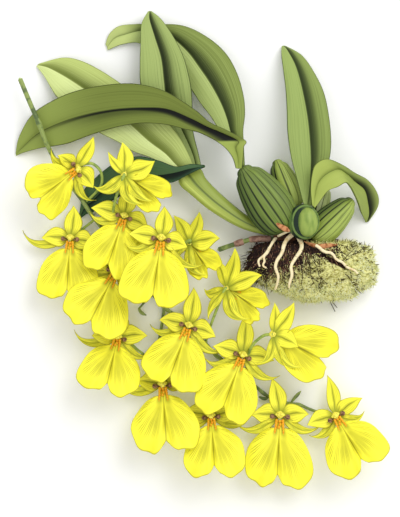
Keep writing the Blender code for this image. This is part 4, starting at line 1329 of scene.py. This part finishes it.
def scattered(name, ground, copy, count, weight, seed, skin, sizes, lean):
    """Scatters copies over the clump where the named weight asks for them, none of them under the table."""
    tree = bpy.data.node_groups.get("Scatter On Surface") or scatter_tree()
    item = new_object(name, ground.data.copy())
    area = sum(face.area for face in ground.data.polygons)
    modifier = item.modifiers.new("scatter", "NODES")
    modifier.node_group = tree
    values = {"Copy": copy, "Density": count / area, "Smallest": sizes[0], "Largest": sizes[1], "Lean": lean}
    values |= {"Seed": seed, "Weight Name": weight, "Material": skin}
    for key, value in values.items():
        set_input(modifier, key, value)
    applied(item)
    for vert in item.data.vertices:
        vert.co.z = max(vert.co.z, TABLE_GAP)
    return finished(item, skin, "moss")


def clump_surface(detail):
    """The clump's surface, uneven, flat underneath and flat towards the rhizome."""
    size = CLUMP_HALF
    back = sheet(0, CLUMP_BACK).y
    build = bmesh.new()
    bmesh.ops.create_icosphere(build, subdivisions=detail, radius=1.0)
    for vert in build.verts:
        direction = vert.co.normalized()
        flat = math.hypot(direction.x, direction.y)
        corner = 1.0
        if flat > 1e-6:
            across, down = abs(direction.x) / flat, abs(direction.y) / flat
            corner = (across**CLUMP_SQUARE + down**CLUMP_SQUARE) ** (-1 / CLUMP_SQUARE)
            corner = 1 + (corner - 1) * flat * (1.0 if direction.y > 0 else 0.25)
        lump = 1.0 + 0.1 * noise.noise(direction * 2.3) + 0.07 * noise.noise(direction * 6.0)
        lump += 0.05 * noise.noise(direction * 15.0) + 0.03 * noise.noise(direction * 34.0)
        spot = Vector(direction[axis] * size[axis] * lump for axis in range(3))
        spot.x *= corner
        spot.y *= corner * (1 + 0.25 * max(0.0, direction.y))
        low_left = max(0.0, -spot.x / size.x) * max(0.0, -spot.y / size.y)
        spot.x *= 1 - 0.35 * low_left
        spot.y *= 1 - 0.35 * low_left
        spot.z = max(0.0, spot.z * 1.12 + size.z * 0.92)
        spot.z *= 0.86 + 0.14 * min(1.0, max(0.0, (spot.y + size.y) / size.y))
        spot.y = min(back + 0.6 * MM * noise.noise(spot * 400), spot.y)
        vert.co = spot
    mesh = bpy.data.meshes.new("moss_clump_body")
    build.to_mesh(mesh)
    build.free()
    return mesh


def moss_share(place):
    """How much of the clump is moss at a place: 0 under the bulbs, where it is dark fibres, to 1 below."""
    u = CLUMP_MIDDLE[0] + place.x / PLATE_STEP
    v = CLUMP_MIDDLE[1] - place.y / PLATE_STEP
    below = (v - 270 + 0.16 * (u - 250)) / 22
    aside = min(1.2, (u - 300) / 12)
    share = 0.42 + max(below, aside)
    streak = 1 - abs(v - 248 - (u - 306) * 0.5) / 6
    if 300 < u < 346:
        share -= 2.2 * max(0.0, streak)
    share += 0.5 * noise.noise(place * 160) + 0.35 * noise.noise(place * 500)
    return max(0.0, min(1.0, share))


def dark_moss(place):
    """How thick the dark moss shoots stand at a place: most beside the third root and on the right."""
    u = CLUMP_MIDDLE[0] + place.x / PLATE_STEP
    v = CLUMP_MIDDLE[1] - place.y / PLATE_STEP
    share = 0.07
    for middle_u, middle_v, wide, high, most in DARK_MOSS:
        share = max(share, most * math.exp(-(((u - middle_u) / wide) ** 2) - ((v - middle_v) / high) ** 2))
    return share


def laid_line(ground, start, end, steps, sway, above):
    """A line over the clump's surface from one place on the plate to another."""
    line = []
    for step in range(steps):
        share = step / (steps - 1)
        place = sheet(*[first + (last - first) * share for first, last in zip(start, end)])
        place.x += sway * math.sin(share * 9)
        place.y += sway * math.cos(share * 7)
        height = ground_height(ground, place, 0.0)
        if height > STROKES_FROM:
            line.append(Vector((place.x, place.y, height + above)))
    return line


def fibre_lines(ground, dice, count):
    """Lines that run from under the bulbs down over the clump and fan out."""
    lines = []
    for _ in range(count):
        u = dice.triangular(252, 346, 268)
        place = sheet(u, dice.uniform(240, 250) + dice.uniform(0, 14) * dice.random() * (u < 300))
        heading = math.radians(dice.gauss(268 + (u - 292) * 0.62, 13))
        curl = dice.uniform(-0.09, 0.09)
        step = dice.uniform(1.2, 2.2) * MM
        line = []
        height = None
        for _ in range(dice.randint(5, 12) if u < 296 else dice.randint(3, 7)):
            below = ground_height(ground, place)
            target = 0.4 * MM if below is None else below + dice.uniform(0.1, 0.5) * MM
            height = target if height is None else max(target, height - 1.6 * MM)
            line.append(Vector((place.x, place.y, height)))
            heading += curl + dice.gauss(0, 0.12)
            place = place + Vector((math.cos(heading), math.sin(heading), 0)) * step
        lines.append(line)
    return lines


def small_blade(name, length, width, bend):
    """A thin bent blade of few faces, standing on its foot."""
    verts = []
    for step, fullness in enumerate((1.0, 0.85, 0.6, 0.12)):
        share = step / 3
        reach = bend * share * share * length
        half = width * fullness / 2
        height = length * share
        verts += [(reach, -half, height), (reach + half * 0.7, 0, height), (reach, half, height)]
    faces = []
    for step in range(3):
        for side in range(3):
            following = (side + 1) % 3
            first, second = step * 3 + side, step * 3 + following
            faces.append((first, second, second + 3, first + 3))
    faces += [(2, 1, 0), (9, 10, 11)]
    mesh = bpy.data.meshes.new(name)
    mesh.from_pydata(verts, [], faces)
    return mesh


def column_mesh():
    """The column with its two wings."""
    widths = [(0, 1.9), (0.4, 1.5), (0.75, 1.7), (0.92, 1.3), (1.0, 0.1)]

    def body(across, along):
        angle = math.pi * across
        radius = between(widths, along)
        wing = 1 + 0.6 * abs(math.cos(angle)) ** 6 * math.sin(math.pi * along)
        height = -0.2 + 4.9 * along
        aside = 0.4 + math.sin(angle) * radius - 0.6 * along * along
        return Vector((math.cos(angle) * radius * wing, aside, height)) * MM

    rows, columns = 16, 24
    mesh = surface_mesh("column", rows, columns, body, closed=True)
    return closed_ends(mesh, rows, columns)


def ball(middle, size, rows=10, columns=14):
    """A mesh of a small uneven ball."""

    def point(across, along):
        share = math.pi * (0.01 + 0.98 * along)
        angle = math.pi * across
        ring = math.sin(share)
        spot = Vector((math.cos(angle) * ring, math.sin(angle) * ring, -math.cos(share)))
        bumpy = 1 + 0.12 * noise.noise(spot * 2.2 + middle * 900)
        return middle + Vector(spot[axis] * size[axis] * bumpy for axis in range(3))

    mesh = surface_mesh("ball", rows, columns, point, closed=True)
    return closed_ends(mesh, rows, columns)


def tepal_mesh(kind, direction, length, width, lift, hook, dice):
    """One sepal or petal in the flower's own frame."""
    start = 1.4
    phase = dice.uniform(0, WAVE_START)
    waves = {"dorsal": 0.35, "petal": 0.8, "lateral": 0.25}[kind]
    turns = dice.uniform(1.6, 2.4)
    cup = {"dorsal": 0.5, "petal": 0.15, "lateral": 0.6}[kind]
    belly = {"dorsal": 0.9, "petal": 0.86, "lateral": 0.95}[kind]

    def point(across, along):
        body = math.sin(math.pi * min(1.0, along**belly)) ** 0.9
        fullness = 0.3 * (1 - along) ** 2 + body * (1 - 0.3 * along**3)
        half = width / 2 * max(fullness, 0.015)
        half *= 1 + 0.09 * waves * math.sin(8 * along + phase + across * 2)
        reach = start + (length - start) * along
        base = math.radians(direction)
        turn = base + hook * along**3
        straight = Vector((math.cos(base), math.sin(base), 0))
        forward = straight.lerp(Vector((math.cos(turn), math.sin(turn), 0)), 0.8)
        aside = Vector((-forward.y, forward.x, 0))
        height = lift * along**2 + cup * across * across * half * 0.3
        wave = math.sin(turns * math.pi * along + phase + 1.4 * across)
        height += waves * abs(across) ** 1.6 * wave * math.sin(math.pi * along)
        height -= 0.3 * math.exp(-((across / 0.2) ** 2)) * math.sin(math.pi * min(1, along * 1.1))
        return (forward * reach + aside * half * across + Vector((0, 0, height))) * MM

    return surface_mesh("tepal", 30, 14, point)


def lip_reach(angle):
    """How far the lip's smooth outline reaches at so many degrees from its middle line."""
    reaches = [reach for _, reach in LIP_OUTLINE]
    for index, ((low, _), (high, _)) in enumerate(zip(LIP_OUTLINE, LIP_OUTLINE[1:])):
        if angle <= high:
            return blend(reaches, index + max(0.0, (angle - low) / (high - low)))
    return reaches[-1]


def lip_mesh(dice, narrow=1.0, short=1.0):
    """The lip: a short claw, then two broad lobes with a notch and a waved margin."""
    ruffle = bpy.context.scene.orchid_flowers.ruffle / MM
    phases = [dice.uniform(0, WAVE_START) for _ in range(4)]
    uneven = dice.uniform(-0.05, 0.05)
    claw_share = 0.16

    def point(across, along):
        if along < claw_share:
            share = along / claw_share
            half = CLAW_HALF * (0.75 + 0.25 * share)
            height = 1.1 + 0.35 * share - 0.3 * across * across
            return Vector((across * half * narrow, -LIP_START - LIP_CLAW * share * short, height)) * MM
        share = (along - claw_share) / (1 - claw_share)
        angle = 95 * (0.42 * across + 0.58 * across**3)
        reach = lip_reach(abs(angle))
        lobed = 1 + 0.026 * math.sin(9 * across + phases[0]) + 0.02 * math.sin(26 * across + phases[1])
        lobed += uneven * across
        radius = CLAW_HALF * (1 - share) ** 1.5 + (reach * lobed) * share
        turn = math.radians(angle)
        crown = 0.45 + 0.55 * math.sin(math.pi * abs(across))
        height = 1.45 + 1.9 * math.sin(math.pi * min(1.0, share * 0.95)) * crown
        height -= 0.75 * math.exp(-((across / 0.07) ** 2)) * math.sin(math.pi * share) ** 0.6
        height -= 1.3 * share**2 * across * across
        height += 0.35 * share * math.sin(7 * across + phases[2]) * math.sin(2.6 * share + phases[3])
        waves = math.sin(13 * across + phases[0]) + 0.6 * math.sin(27 * across + phases[1])
        height += ruffle * share**4 * waves
        place = Vector((math.sin(turn) * narrow, -math.cos(turn) * short, 0)) * radius
        return (place + Vector((0, -LIP_START - LIP_CLAW * short, height))) * MM

    return surface_mesh("lip", 34, 60, point)


def callus_mesh(place, share):
    """The warty callus on the claw: two ridges and small knobs between them."""
    meshes = []
    for side in (-1, 1):
        for step in range(6):
            middle = Vector((side * (1.5 + 0.16 * step), -3.0 - 1.3 * step * share, 2.1 - 0.1 * step)) * MM
            meshes.append(ball(middle, Vector((0.82 - 0.07 * step, 1.0, 0.8 - 0.08 * step)) * MM, 8, 10))
    for spot in ((0, -3.2, 2.3), (0.3, -4.8 * share, 2.1), (-0.3, -6.2 * share, 2.0)):
        meshes.append(ball(Vector(spot) * MM, Vector((0.7, 0.9, 0.6)) * MM, 8, 10))
    made = joined("callus", meshes)
    made.transform(place)
    return made


def flower_place(values):
    """Where a flower sits and how it is turned."""
    u, v, height, roll, pitch, turn, _, size, _ = values
    turned = Matrix.Rotation(math.radians(turn), 4, "Y")
    tilted = Matrix.Rotation(-math.radians(pitch), 4, "X")
    rolled = Matrix.Rotation(math.radians(roll), 4, "Z")
    return Matrix.Translation(sheet(u, v, height)) @ rolled @ tilted @ turned @ Matrix.Scale(size, 4)


def nearest(line, place):
    """The point of a line that is nearest to a place."""
    return min(line, key=lambda point: (point - place).length)


def tepal_direction(values, direction):
    """A direction on the plate as one in the flower's own frame."""
    roll = values[3]
    return 180 + roll - direction if values[5] > BACK_TURN else direction - roll


def build_flower(number, values, stems, looks):
    """One flower: sepals, petals, lip, callus, side knobs, column, anther cap and pedicel."""
    settings = bpy.context.scene.orchid_flowers
    dice = random.Random(100 + number)
    name = f"flower_{number:02d}"
    place = flower_place(values)
    size = values[7]
    flipped = -1 if values[5] > BACK_TURN else 1
    narrow, short = LIP_SHARES.get(number, (1.0, 1.0))
    groups = {"tepal_blades": [], "lateral_sepals": []}
    for entry, (kind, usual, lift, hook) in zip(FLOWER_TEPALS[number], TEPAL_KINDS):
        direction, length = entry[:2]
        width = (entry[2] if len(entry) > 2 else usual) / size
        turned = tepal_direction(values, direction)
        mesh = tepal_mesh(kind, turned, length / size, width, lift * flipped, hook * flipped, dice)
        groups["lateral_sepals" if kind == "lateral" else "tepal_blades"].append(mesh)
    for key, meshes in groups.items():
        mesh = joined(f"{name}_{key}", meshes)
        mesh.transform(place)
        nodes = [name + "_tepals"] if key == "tepal_blades" else []
        sheet_piece(f"{name}_{key}", mesh, settings.thickness, looks[key], "tepals", nodes)
    mesh = lip_mesh(dice, narrow, short)
    lip_place = place @ Matrix.Rotation(-math.radians(values[6]), 4, "X")
    mesh.transform(lip_place)
    sheet_piece(name + "_lip_blade", mesh, settings.thickness, looks["lip"], "lip", [name + "_lip"])
    finished(new_object(name + "_callus", callus_mesh(lip_place, short)), looks["callus"], "lip")
    knobs = []
    for side in (-1, 1):
        middle = Vector((side * 3.9, -0.9, 2.3))
        knobs.append(ball(middle * MM, Vector((1.25, 1.35, 0.95)) * MM, 12, 18))
        knobs.append(ball(Vector((side * 2.6, -1.0, 1.7)) * MM, Vector((1.2, 0.5, 0.5)) * MM, 8, 10))
    mesh = joined(name + "_side_knobs", knobs)
    mesh.transform(place)
    finished(new_object(name + "_side_knobs", mesh), looks["knob"], "lip")
    column = column_mesh()
    cap = ball(Vector((0, -0.55, 4.3)) * MM, Vector((1.45, 1.35, 1.0)) * MM)
    mesh = joined(name + "_column", [column, cap])
    mesh.transform(place)
    finished(new_object(name + "_column", mesh), looks["column"], "tepals")
    line, radius = stems[values[8]]
    hub = place @ Vector((0, 0, 0.2 * MM))
    if number in PEDICEL_PATHS:
        rows = [hub, *[sheet(*spot) for spot in PEDICEL_PATHS[number]]]
    else:
        behind = place @ Vector((0, 0, -2.4 * MM))
        seat = nearest(line, behind)
        foot = seat + (behind - seat).normalized() * (radius * 0.6)
        dip = behind.lerp(foot, 0.45)
        dip.z = min(dip.z, foot.z + 1.8 * MM)
        rows = [hub, behind, dip, foot]
    stem_piece(name + "_pedicel", resampled(rows, 26), (0.8 * MM, 0.62 * MM), looks["stem"], "stem")


class ORCHID_OT_leaves(Operator):
    """Builds the seven leaves"""

    bl_idname = "orchid.leaves"
    bl_label = "Leaves"

    def execute(self, context):
        for name in LEAF_ROWS:
            build_leaf(name)
        return {"FINISHED"}


class ORCHID_OT_bulbs(Operator):
    """Builds the pseudobulbs"""

    bl_idname = "orchid.bulbs"
    bl_label = "Pseudobulbs"

    def execute(self, context):
        high = context.scene.orchid_bulbs.high_colour
        # Lit and shaded copies of the bulb skin with their painted light and shade: shaded for the main bulb,
        # bright for the back one, sunny for the others; the husk is the old bulb's pale skin
        shaded = bulb_look("shaded_bulb_skin", tuple(high), "#67793a", 0.0, 0.72)
        sunny = bulb_look("sunny_bulb_skin", paint("#8fa043"), "#7f9238", 0.9, 0.5)
        bright = bulb_look("bright_bulb_skin", paint("#a6b655"), "#8fa145", 0.9, 0.6)
        husk = bulb_look("husk_skin", paint("#d3daa6"), "#b6c284", 0.6, 0.35)
        skins = {"pseudobulb_main": shaded, "pseudobulb_back": bright, "pseudobulb_old": husk}
        for name, values in BULBS.items():
            build_bulb(name, values, skins.get(name, sunny))
        build_young_bulb()
        return {"FINISHED"}


class ORCHID_OT_growth(Operator):
    """Builds the new growth's sheath, the bracts and the rhizome"""

    bl_idname = "orchid.growth"
    bl_label = "Sheath, Bracts and Rhizome"

    def execute(self, context):
        line = [sheet(*row[:3]) for row in SHEATH]
        widths, tops, bottoms = ([row[column] * MM for row in SHEATH] for column in (3, 4, 5))
        mesh = lens_mesh("growth_sheath_body", line, widths, tops, bottoms, 60, 64, 0.06)
        finished(new_object("growth_sheath_body", mesh), sheath_look(), "sheath", ["growth_sheath"])
        papery = spotted_look("papery_bract", "#c68a5c", "#8f5128", 420.0, 0.75)
        ground = BVHTree.FromObject(bpy.data.objects["moss_clump_body"], context.evaluated_depsgraph_get())
        for name, rows in BRACTS.items():
            line = path(rows, 5)
            for point in line:
                below = ground_height(ground, point)
                point.z = max(point.z, 0.0 if below is None else below + BRACT_OVER)
            widths = [part * MM for part in (0.1, 0.8, 1.25, 1.25, 0.2)]
            thin = [part * MM for part in (0.3, 0.7, 0.8, 0.6, 0.2)]
            mesh = lens_mesh(name + "_paper", line, widths, thin, thin, 24, 24)
            finished(new_object(name + "_paper", mesh), papery, "bract", [name])
        bark = spotted_look("rhizome_bark", "#5a3620", "#24120c", 300.0, 0.85)
        radii = (2.5 * MM, 2.0 * MM)
        stem_piece("rhizome_stem", path(RHIZOME, 40), radii, bark, "rhizome", ["rhizome"], 0.35, 420.0)
        return {"FINISHED"}


class ORCHID_OT_moss(Operator):
    """Builds the clump of fibres and moss"""

    bl_idname = "orchid.moss"
    bl_label = "Clump"

    def execute(self, context):
        settings = context.scene.orchid_moss
        mesh = clump_surface(6)
        moss = mesh.attributes.new("moss", "FLOAT", "POINT")
        fibre = mesh.attributes.new("fibre", "FLOAT", "POINT")
        stipple = mesh.attributes.new("stipple", "FLOAT", "POINT")
        for index, vert in enumerate(mesh.vertices):
            share = moss_share(vert.co)
            above = 1.0 if vert.co.z > 1.0 * MM else 0.0
            moss.data[index].value = share * above
            fibre.data[index].value = (1.0 - share) ** 2 * above
            stipple.data[index].value = above * dark_moss(vert.co) * (0.45 + noise.noise(vert.co * 200))
        body = new_object("moss_clump_body", mesh)
        finished(body, clump_look(), "moss", ["moss_clump"])
        strand = new_object("strand", small_blade("strand", settings.fibre_length, 0.24 * MM, 0.5))
        leaflet = new_object("leaflet", small_blade("leaflet", 1.9 * MM, 0.62 * MM, 0.3))
        brown = spotted_look("fibre_brown", "#1c0c0a", "#5e3a2a", 700.0, 0.9, low=0.5, high=0.75)
        tan = spotted_look("fibre_tan", "#a98466", "#5a3826", 700.0, 0.9)
        olive = spotted_look("moss_olive", "#756c2c", "#3c3216", 500.0, 0.9, low=0.4, high=0.6)
        pale = pale_moss_look()
        scattered("clump_fibres", body, strand, settings.fibres, "fibre", 3, brown, (0.4, 1.0), 1.2)
        scattered("moss_sprigs", body, leaflet, settings.sprigs * 3, "stipple", 5, olive, (0.7, 1.5), 1.3)
        scattered("moss_tips", body, leaflet, settings.sprigs * 2, "moss", 8, pale, (0.6, 1.2), 1.1)
        ground = BVHTree.FromObject(body, context.evaluated_depsgraph_get())
        dice = random.Random(41)
        dark_lines = fibre_lines(ground, dice, settings.strands)
        stem_piece("fibre_streaks", dark_lines, (0.26 * MM, 0.1 * MM), brown, "moss", (), 0.0, 300.0, 5)
        light_lines = fibre_lines(ground, dice, settings.strands // 5)
        stem_piece("fibre_glints", light_lines, (0.17 * MM, 0.08 * MM), tan, "moss", (), 0.0, 300.0, 5)
        strokes = [laid_line(ground, *ends, 9, 0.5 * MM, 0.9 * MM) for ends in MOSS_STROKES]
        dusky = spotted_look("moss_dusky", "#4a4020", "#2a1c10", 700.0, 0.9)
        stem_piece("dark_strokes", strokes, (0.24 * MM, 0.08 * MM), dusky, "moss", (), 0.35, 900.0, 6)
        wires = []
        for start, end, sway in WIRY_ROOTLETS:
            halfway = [(first + last) / 2 + sway for first, last in zip(start, end)]
            wires.append(resampled([sheet(*start, 7), sheet(*halfway, 2.6), sheet(*end, 0.7)], 12))
        stem_piece("wiry_rootlets", wires, (0.32 * MM, 0.16 * MM), brown, "moss", (), 0.1, 600.0, 7)
        for helper in (strand, leaflet):
            bpy.data.objects.remove(helper, do_unlink=True)
        return {"FINISHED"}


class ORCHID_OT_roots(Operator):
    """Builds the thick roots over the clump"""

    bl_idname = "orchid.roots"
    bl_label = "Roots"

    def execute(self, context):
        body = bpy.data.objects["moss_clump_body"]
        ground = BVHTree.FromObject(body, context.evaluated_depsgraph_get())
        skin = spotted_look("root_cream", "#f1e2b8", "#d0aa62", 220.0, 0.55, 0.2, 0.52, 0.75)
        for name, rows in ROOTS.items():
            forked = name.endswith("_fork")
            line = []
            flat = resampled([sheet(u, v) for u, v in rows], ROOT_STEPS)
            last = ROOT_STEPS - 1
            for index, point in enumerate(flat):
                share = index / last
                ahead = (flat[min(index + 1, last)] - flat[max(index - 1, 0)]).normalized()
                sway = 0.45 * MM * math.sin(share * 15 + point.x * 300) * min(1, share * 3)
                point = point + Vector((-ahead.y, ahead.x, 0)) * sway
                highest = 0.0
                for turn in range(ROOT_PROBES):
                    angle = 2 * math.pi * turn / ROOT_PROBES
                    probe = point + Vector((math.cos(angle), math.sin(angle), 0)) * ROOT_REACH
                    highest = max(highest, ground_height(ground, probe, 0.0))
                leaving = 0.0 if forked else ROOTS_LEAVE + ROOT_REACH - max(0, share - 0.16) * 40 * MM
                line.append(Vector((point.x, point.y, max(highest + 0.7 * ROOT_REACH, leaving))))
            smoothed = resampled(line[::2], 70)
            radii = (ROOT_RADII[name] * MM, 0.5 * ROOT_RADII[name] * MM)
            stem_piece(name + "_strand", smoothed, radii, skin, "root", [] if forked else [name], 0.3, 260.0)
        return {"FINISHED"}


class ORCHID_OT_stems(Operator):
    """Builds the spray's stem, its side branch, its joints and buds, and the cut stub"""

    bl_idname = "orchid.stems"
    bl_label = "Stems"

    def execute(self, context):
        skin = spotted_look("stem_green", "#8a9a52", "#56683a", 240.0, 0.5, 0.15)
        cut = spotted_look("cut_green", "#cbd9a4", "#a9bd7c", 900.0, 0.7, 0.2)
        line = path(SPRAY_STEM, STEM_STEPS)
        stem_piece("spray_stem", line, (1.2 * MM, 0.72 * MM), skin, "stem", ["flower_stem"], 0.12, 150.0)
        branch = path(SIDE_BRANCH, BRANCH_STEPS)
        stem_piece("side_branch", branch, (0.8 * MM, 0.64 * MM), skin, "stem", (), 0.12, 150.0)
        for index, (u, v) in enumerate(STEM_NODES, start=1):
            seat = nearest(line, sheet(u, v, 3))
            position = line.index(seat)
            near = [line[max(position - 3, 0)], seat, line[min(position + 4, len(line) - 1)]]
            half = 1.45 * MM * (1 - 0.35 * position / len(line))
            widths = [half * 0.8, half, half * 0.7]
            mesh = lens_mesh(f"stem_joint_{index}", near, widths, widths, widths, 16, 20)
            finished(new_object(f"stem_joint_{index}", mesh), skin, "stem")
        stub = path(PEDUNCLE_STUB, 60)
        radii = (1.15 * MM, 1.25 * MM)
        stem_piece("peduncle_stub_stem", stub, radii, skin, "stem", ["peduncle_stub"], 0.15, 200.0)
        pinkish = spotted_look("stub_bract", "#b08a78", "#7d5a4c", 300.0, 0.7)
        for index, (first, last) in enumerate(((2, 22), (30, 44)), start=1):
            covered = stub[first:last]
            shape = [covered[0], covered[len(covered) // 2], covered[-1]]
            widths = [part * MM for part in (1.6, 1.7, 1.35)]
            mesh = lens_mesh(f"stub_bract_{index}", shape, widths, widths, widths, 20, 20)
            finished(new_object(f"stub_bract_{index}", mesh), pinkish, "bract")
        for name, end in (("stem_cut", line[0]), ("stub_cut", stub[-1])):
            mesh = ball(end, Vector((0.9, 0.9, 0.9)) * MM)
            finished(new_object(name, mesh), cut, "stem")
        stalk = path(BRACT_STALK, 20)
        stem_piece("bract_middle_stalk", stalk, (0.6 * MM, 0.5 * MM), skin, "stem", (), 0.1)
        for name, rows in BUDS.items():
            widths = [part * MM for part in (0.4, 0.75, 0.85, 0.2)]
            mesh = lens_mesh(name, path(rows, 4), widths, widths, widths, 20, 16)
            finished(new_object(name, mesh), skin, "stem")
        return {"FINISHED"}


class ORCHID_OT_flowers(Operator):
    """Builds the sixteen flowers"""

    bl_idname = "orchid.flowers"
    bl_label = "Flowers"

    def execute(self, context):
        looks = {
            "tepal_blades": tepal_look("tepal_yellow", "#f2ef42", 0.45),
            "lateral_sepals": tepal_look("sepal_green", "#b6bb34", 0.8),
            "lip": lip_look(),
            "callus": callus_look(),
            "knob": spotted_look("knob_brown", "#9a7450", "#57382a", 900.0, 0.5),
            "column": spotted_look("column_yellow", "#faf05c", "#cfc038", 1100.0, 0.45),
            "stem": spotted_look("pedicel_green", "#a3b653", "#7c9440", 400.0, 0.5, 0.15),
        }
        line = path(SPRAY_STEM, STEM_STEPS)
        stems = {
            "stem": (line, 1.0 * MM),
            "stem_end": ([point for point in line if point.x > sheet(STEM_END_FROM, 0).x], 0.9 * MM),
            "branch": (path(SIDE_BRANCH, BRANCH_STEPS), 0.7 * MM),
        }
        for number, values in enumerate(FLOWERS, start=1):
            build_flower(number, values, stems, looks)
        return {"FINISHED"}


class ORCHID_OT_stage(Operator):
    """Sets the floor, the lights and the camera over the plant"""

    bl_idname = "orchid.stage"
    bl_label = "Stage"

    def execute(self, context):
        settings = context.scene.orchid_stage
        mesh = bpy.data.meshes.new("floor")
        corners = [(x * FLOOR_HALF, y * FLOOR_HALF, 0) for x, y in ((-1, -1), (1, -1), (1, 1), (-1, 1))]
        mesh.from_pydata(corners, [], [(0, 1, 2, 3)])
        floor = new_object("floor", mesh)
        floor.location.z = -FLOOR_DROP
        skin, _, shader = look("floor_paper", roughness=0.9, specular=0.1)
        shader.inputs["Base Color"].default_value = (*settings.floor_colour, 1.0)
        mesh.materials.append(skin)
        world = bpy.data.worlds.new("soft_sky")
        world.use_nodes = True
        sky = world.node_tree.nodes["Background"]
        sky.inputs["Color"].default_value = (1, 1, 1, 1)
        sky.inputs["Strength"].default_value = settings.sky
        context.scene.world = world
        middle = sheet(PLATE_SIZE[0] / 2, PLATE_SIZE[1] / 2, 10)
        lamp = bpy.data.lights.new("key", "AREA")
        lamp.energy = settings.key
        lamp.size = KEY_SIZE
        key = bpy.data.objects.new("key", lamp)
        key.location = middle + KEY_OFFSET
        key.rotation_euler = (middle - key.location).to_track_quat("-Z", "Y").to_euler()
        context.scene.collection.objects.link(key)
        shot = bpy.data.cameras.new("camera")
        shot.sensor_width = SENSOR_WIDTH
        shot.lens = shot.sensor_width * settings.distance / (PLATE_SIZE[1] * PLATE_STEP)
        camera = bpy.data.objects.new("camera", shot)
        camera.location = middle + Vector((0, 0, settings.distance))
        context.scene.collection.objects.link(camera)
        context.scene.camera = camera
        context.scene.view_settings.view_transform = "Standard"
        return {"FINISHED"}


class ORCHID_PT_panel(Panel):
    """Lists the pieces and their settings"""

    bl_idname = "ORCHID_PT_panel"
    bl_label = "Orchid"
    bl_space_type = "VIEW_3D"
    bl_region_type = "UI"
    bl_category = "Orchid"

    def draw(self, context):
        for operator in OPERATORS:
            self.layout.operator(operator.bl_idname)
        for name in SETTINGS:
            box = self.layout.box()
            group = getattr(context.scene, name)
            for key in group.bl_rna.properties.keys():
                if key not in ("rna_type", "name"):
                    box.prop(group, key)


SETTINGS = {
    "orchid_flowers": OrchidFlowerSettings,
    "orchid_leaves": OrchidLeafSettings,
    "orchid_bulbs": OrchidBulbSettings,
    "orchid_moss": OrchidMossSettings,
    "orchid_stage": OrchidStageSettings,
}
OPERATORS = (
    ORCHID_OT_stage,
    ORCHID_OT_moss,
    ORCHID_OT_roots,
    ORCHID_OT_bulbs,
    ORCHID_OT_growth,
    ORCHID_OT_leaves,
    ORCHID_OT_stems,
    ORCHID_OT_flowers,
)


def register():
    """Registers the settings, the operators and the panel."""
    for name, group in SETTINGS.items():
        bpy.utils.register_class(group)
        setattr(bpy.types.Scene, name, PointerProperty(type=group))
    for operator in OPERATORS:
        bpy.utils.register_class(operator)
    bpy.utils.register_class(ORCHID_PT_panel)


def unregister():
    """Takes everything off again."""
    bpy.utils.unregister_class(ORCHID_PT_panel)
    for operator in reversed(OPERATORS):
        bpy.utils.unregister_class(operator)
    for name, group in reversed(SETTINGS.items()):
        delattr(bpy.types.Scene, name)
        bpy.utils.unregister_class(group)


def main():
    """Builds the whole plant."""
    register()
    bpy.ops.orchid.stage()
    bpy.ops.orchid.moss()
    bpy.ops.orchid.roots()
    bpy.ops.orchid.bulbs()
    bpy.ops.orchid.growth()
    bpy.ops.orchid.leaves()
    bpy.ops.orchid.stems()
    bpy.ops.orchid.flowers()


if __name__ == "__main__":
    main()
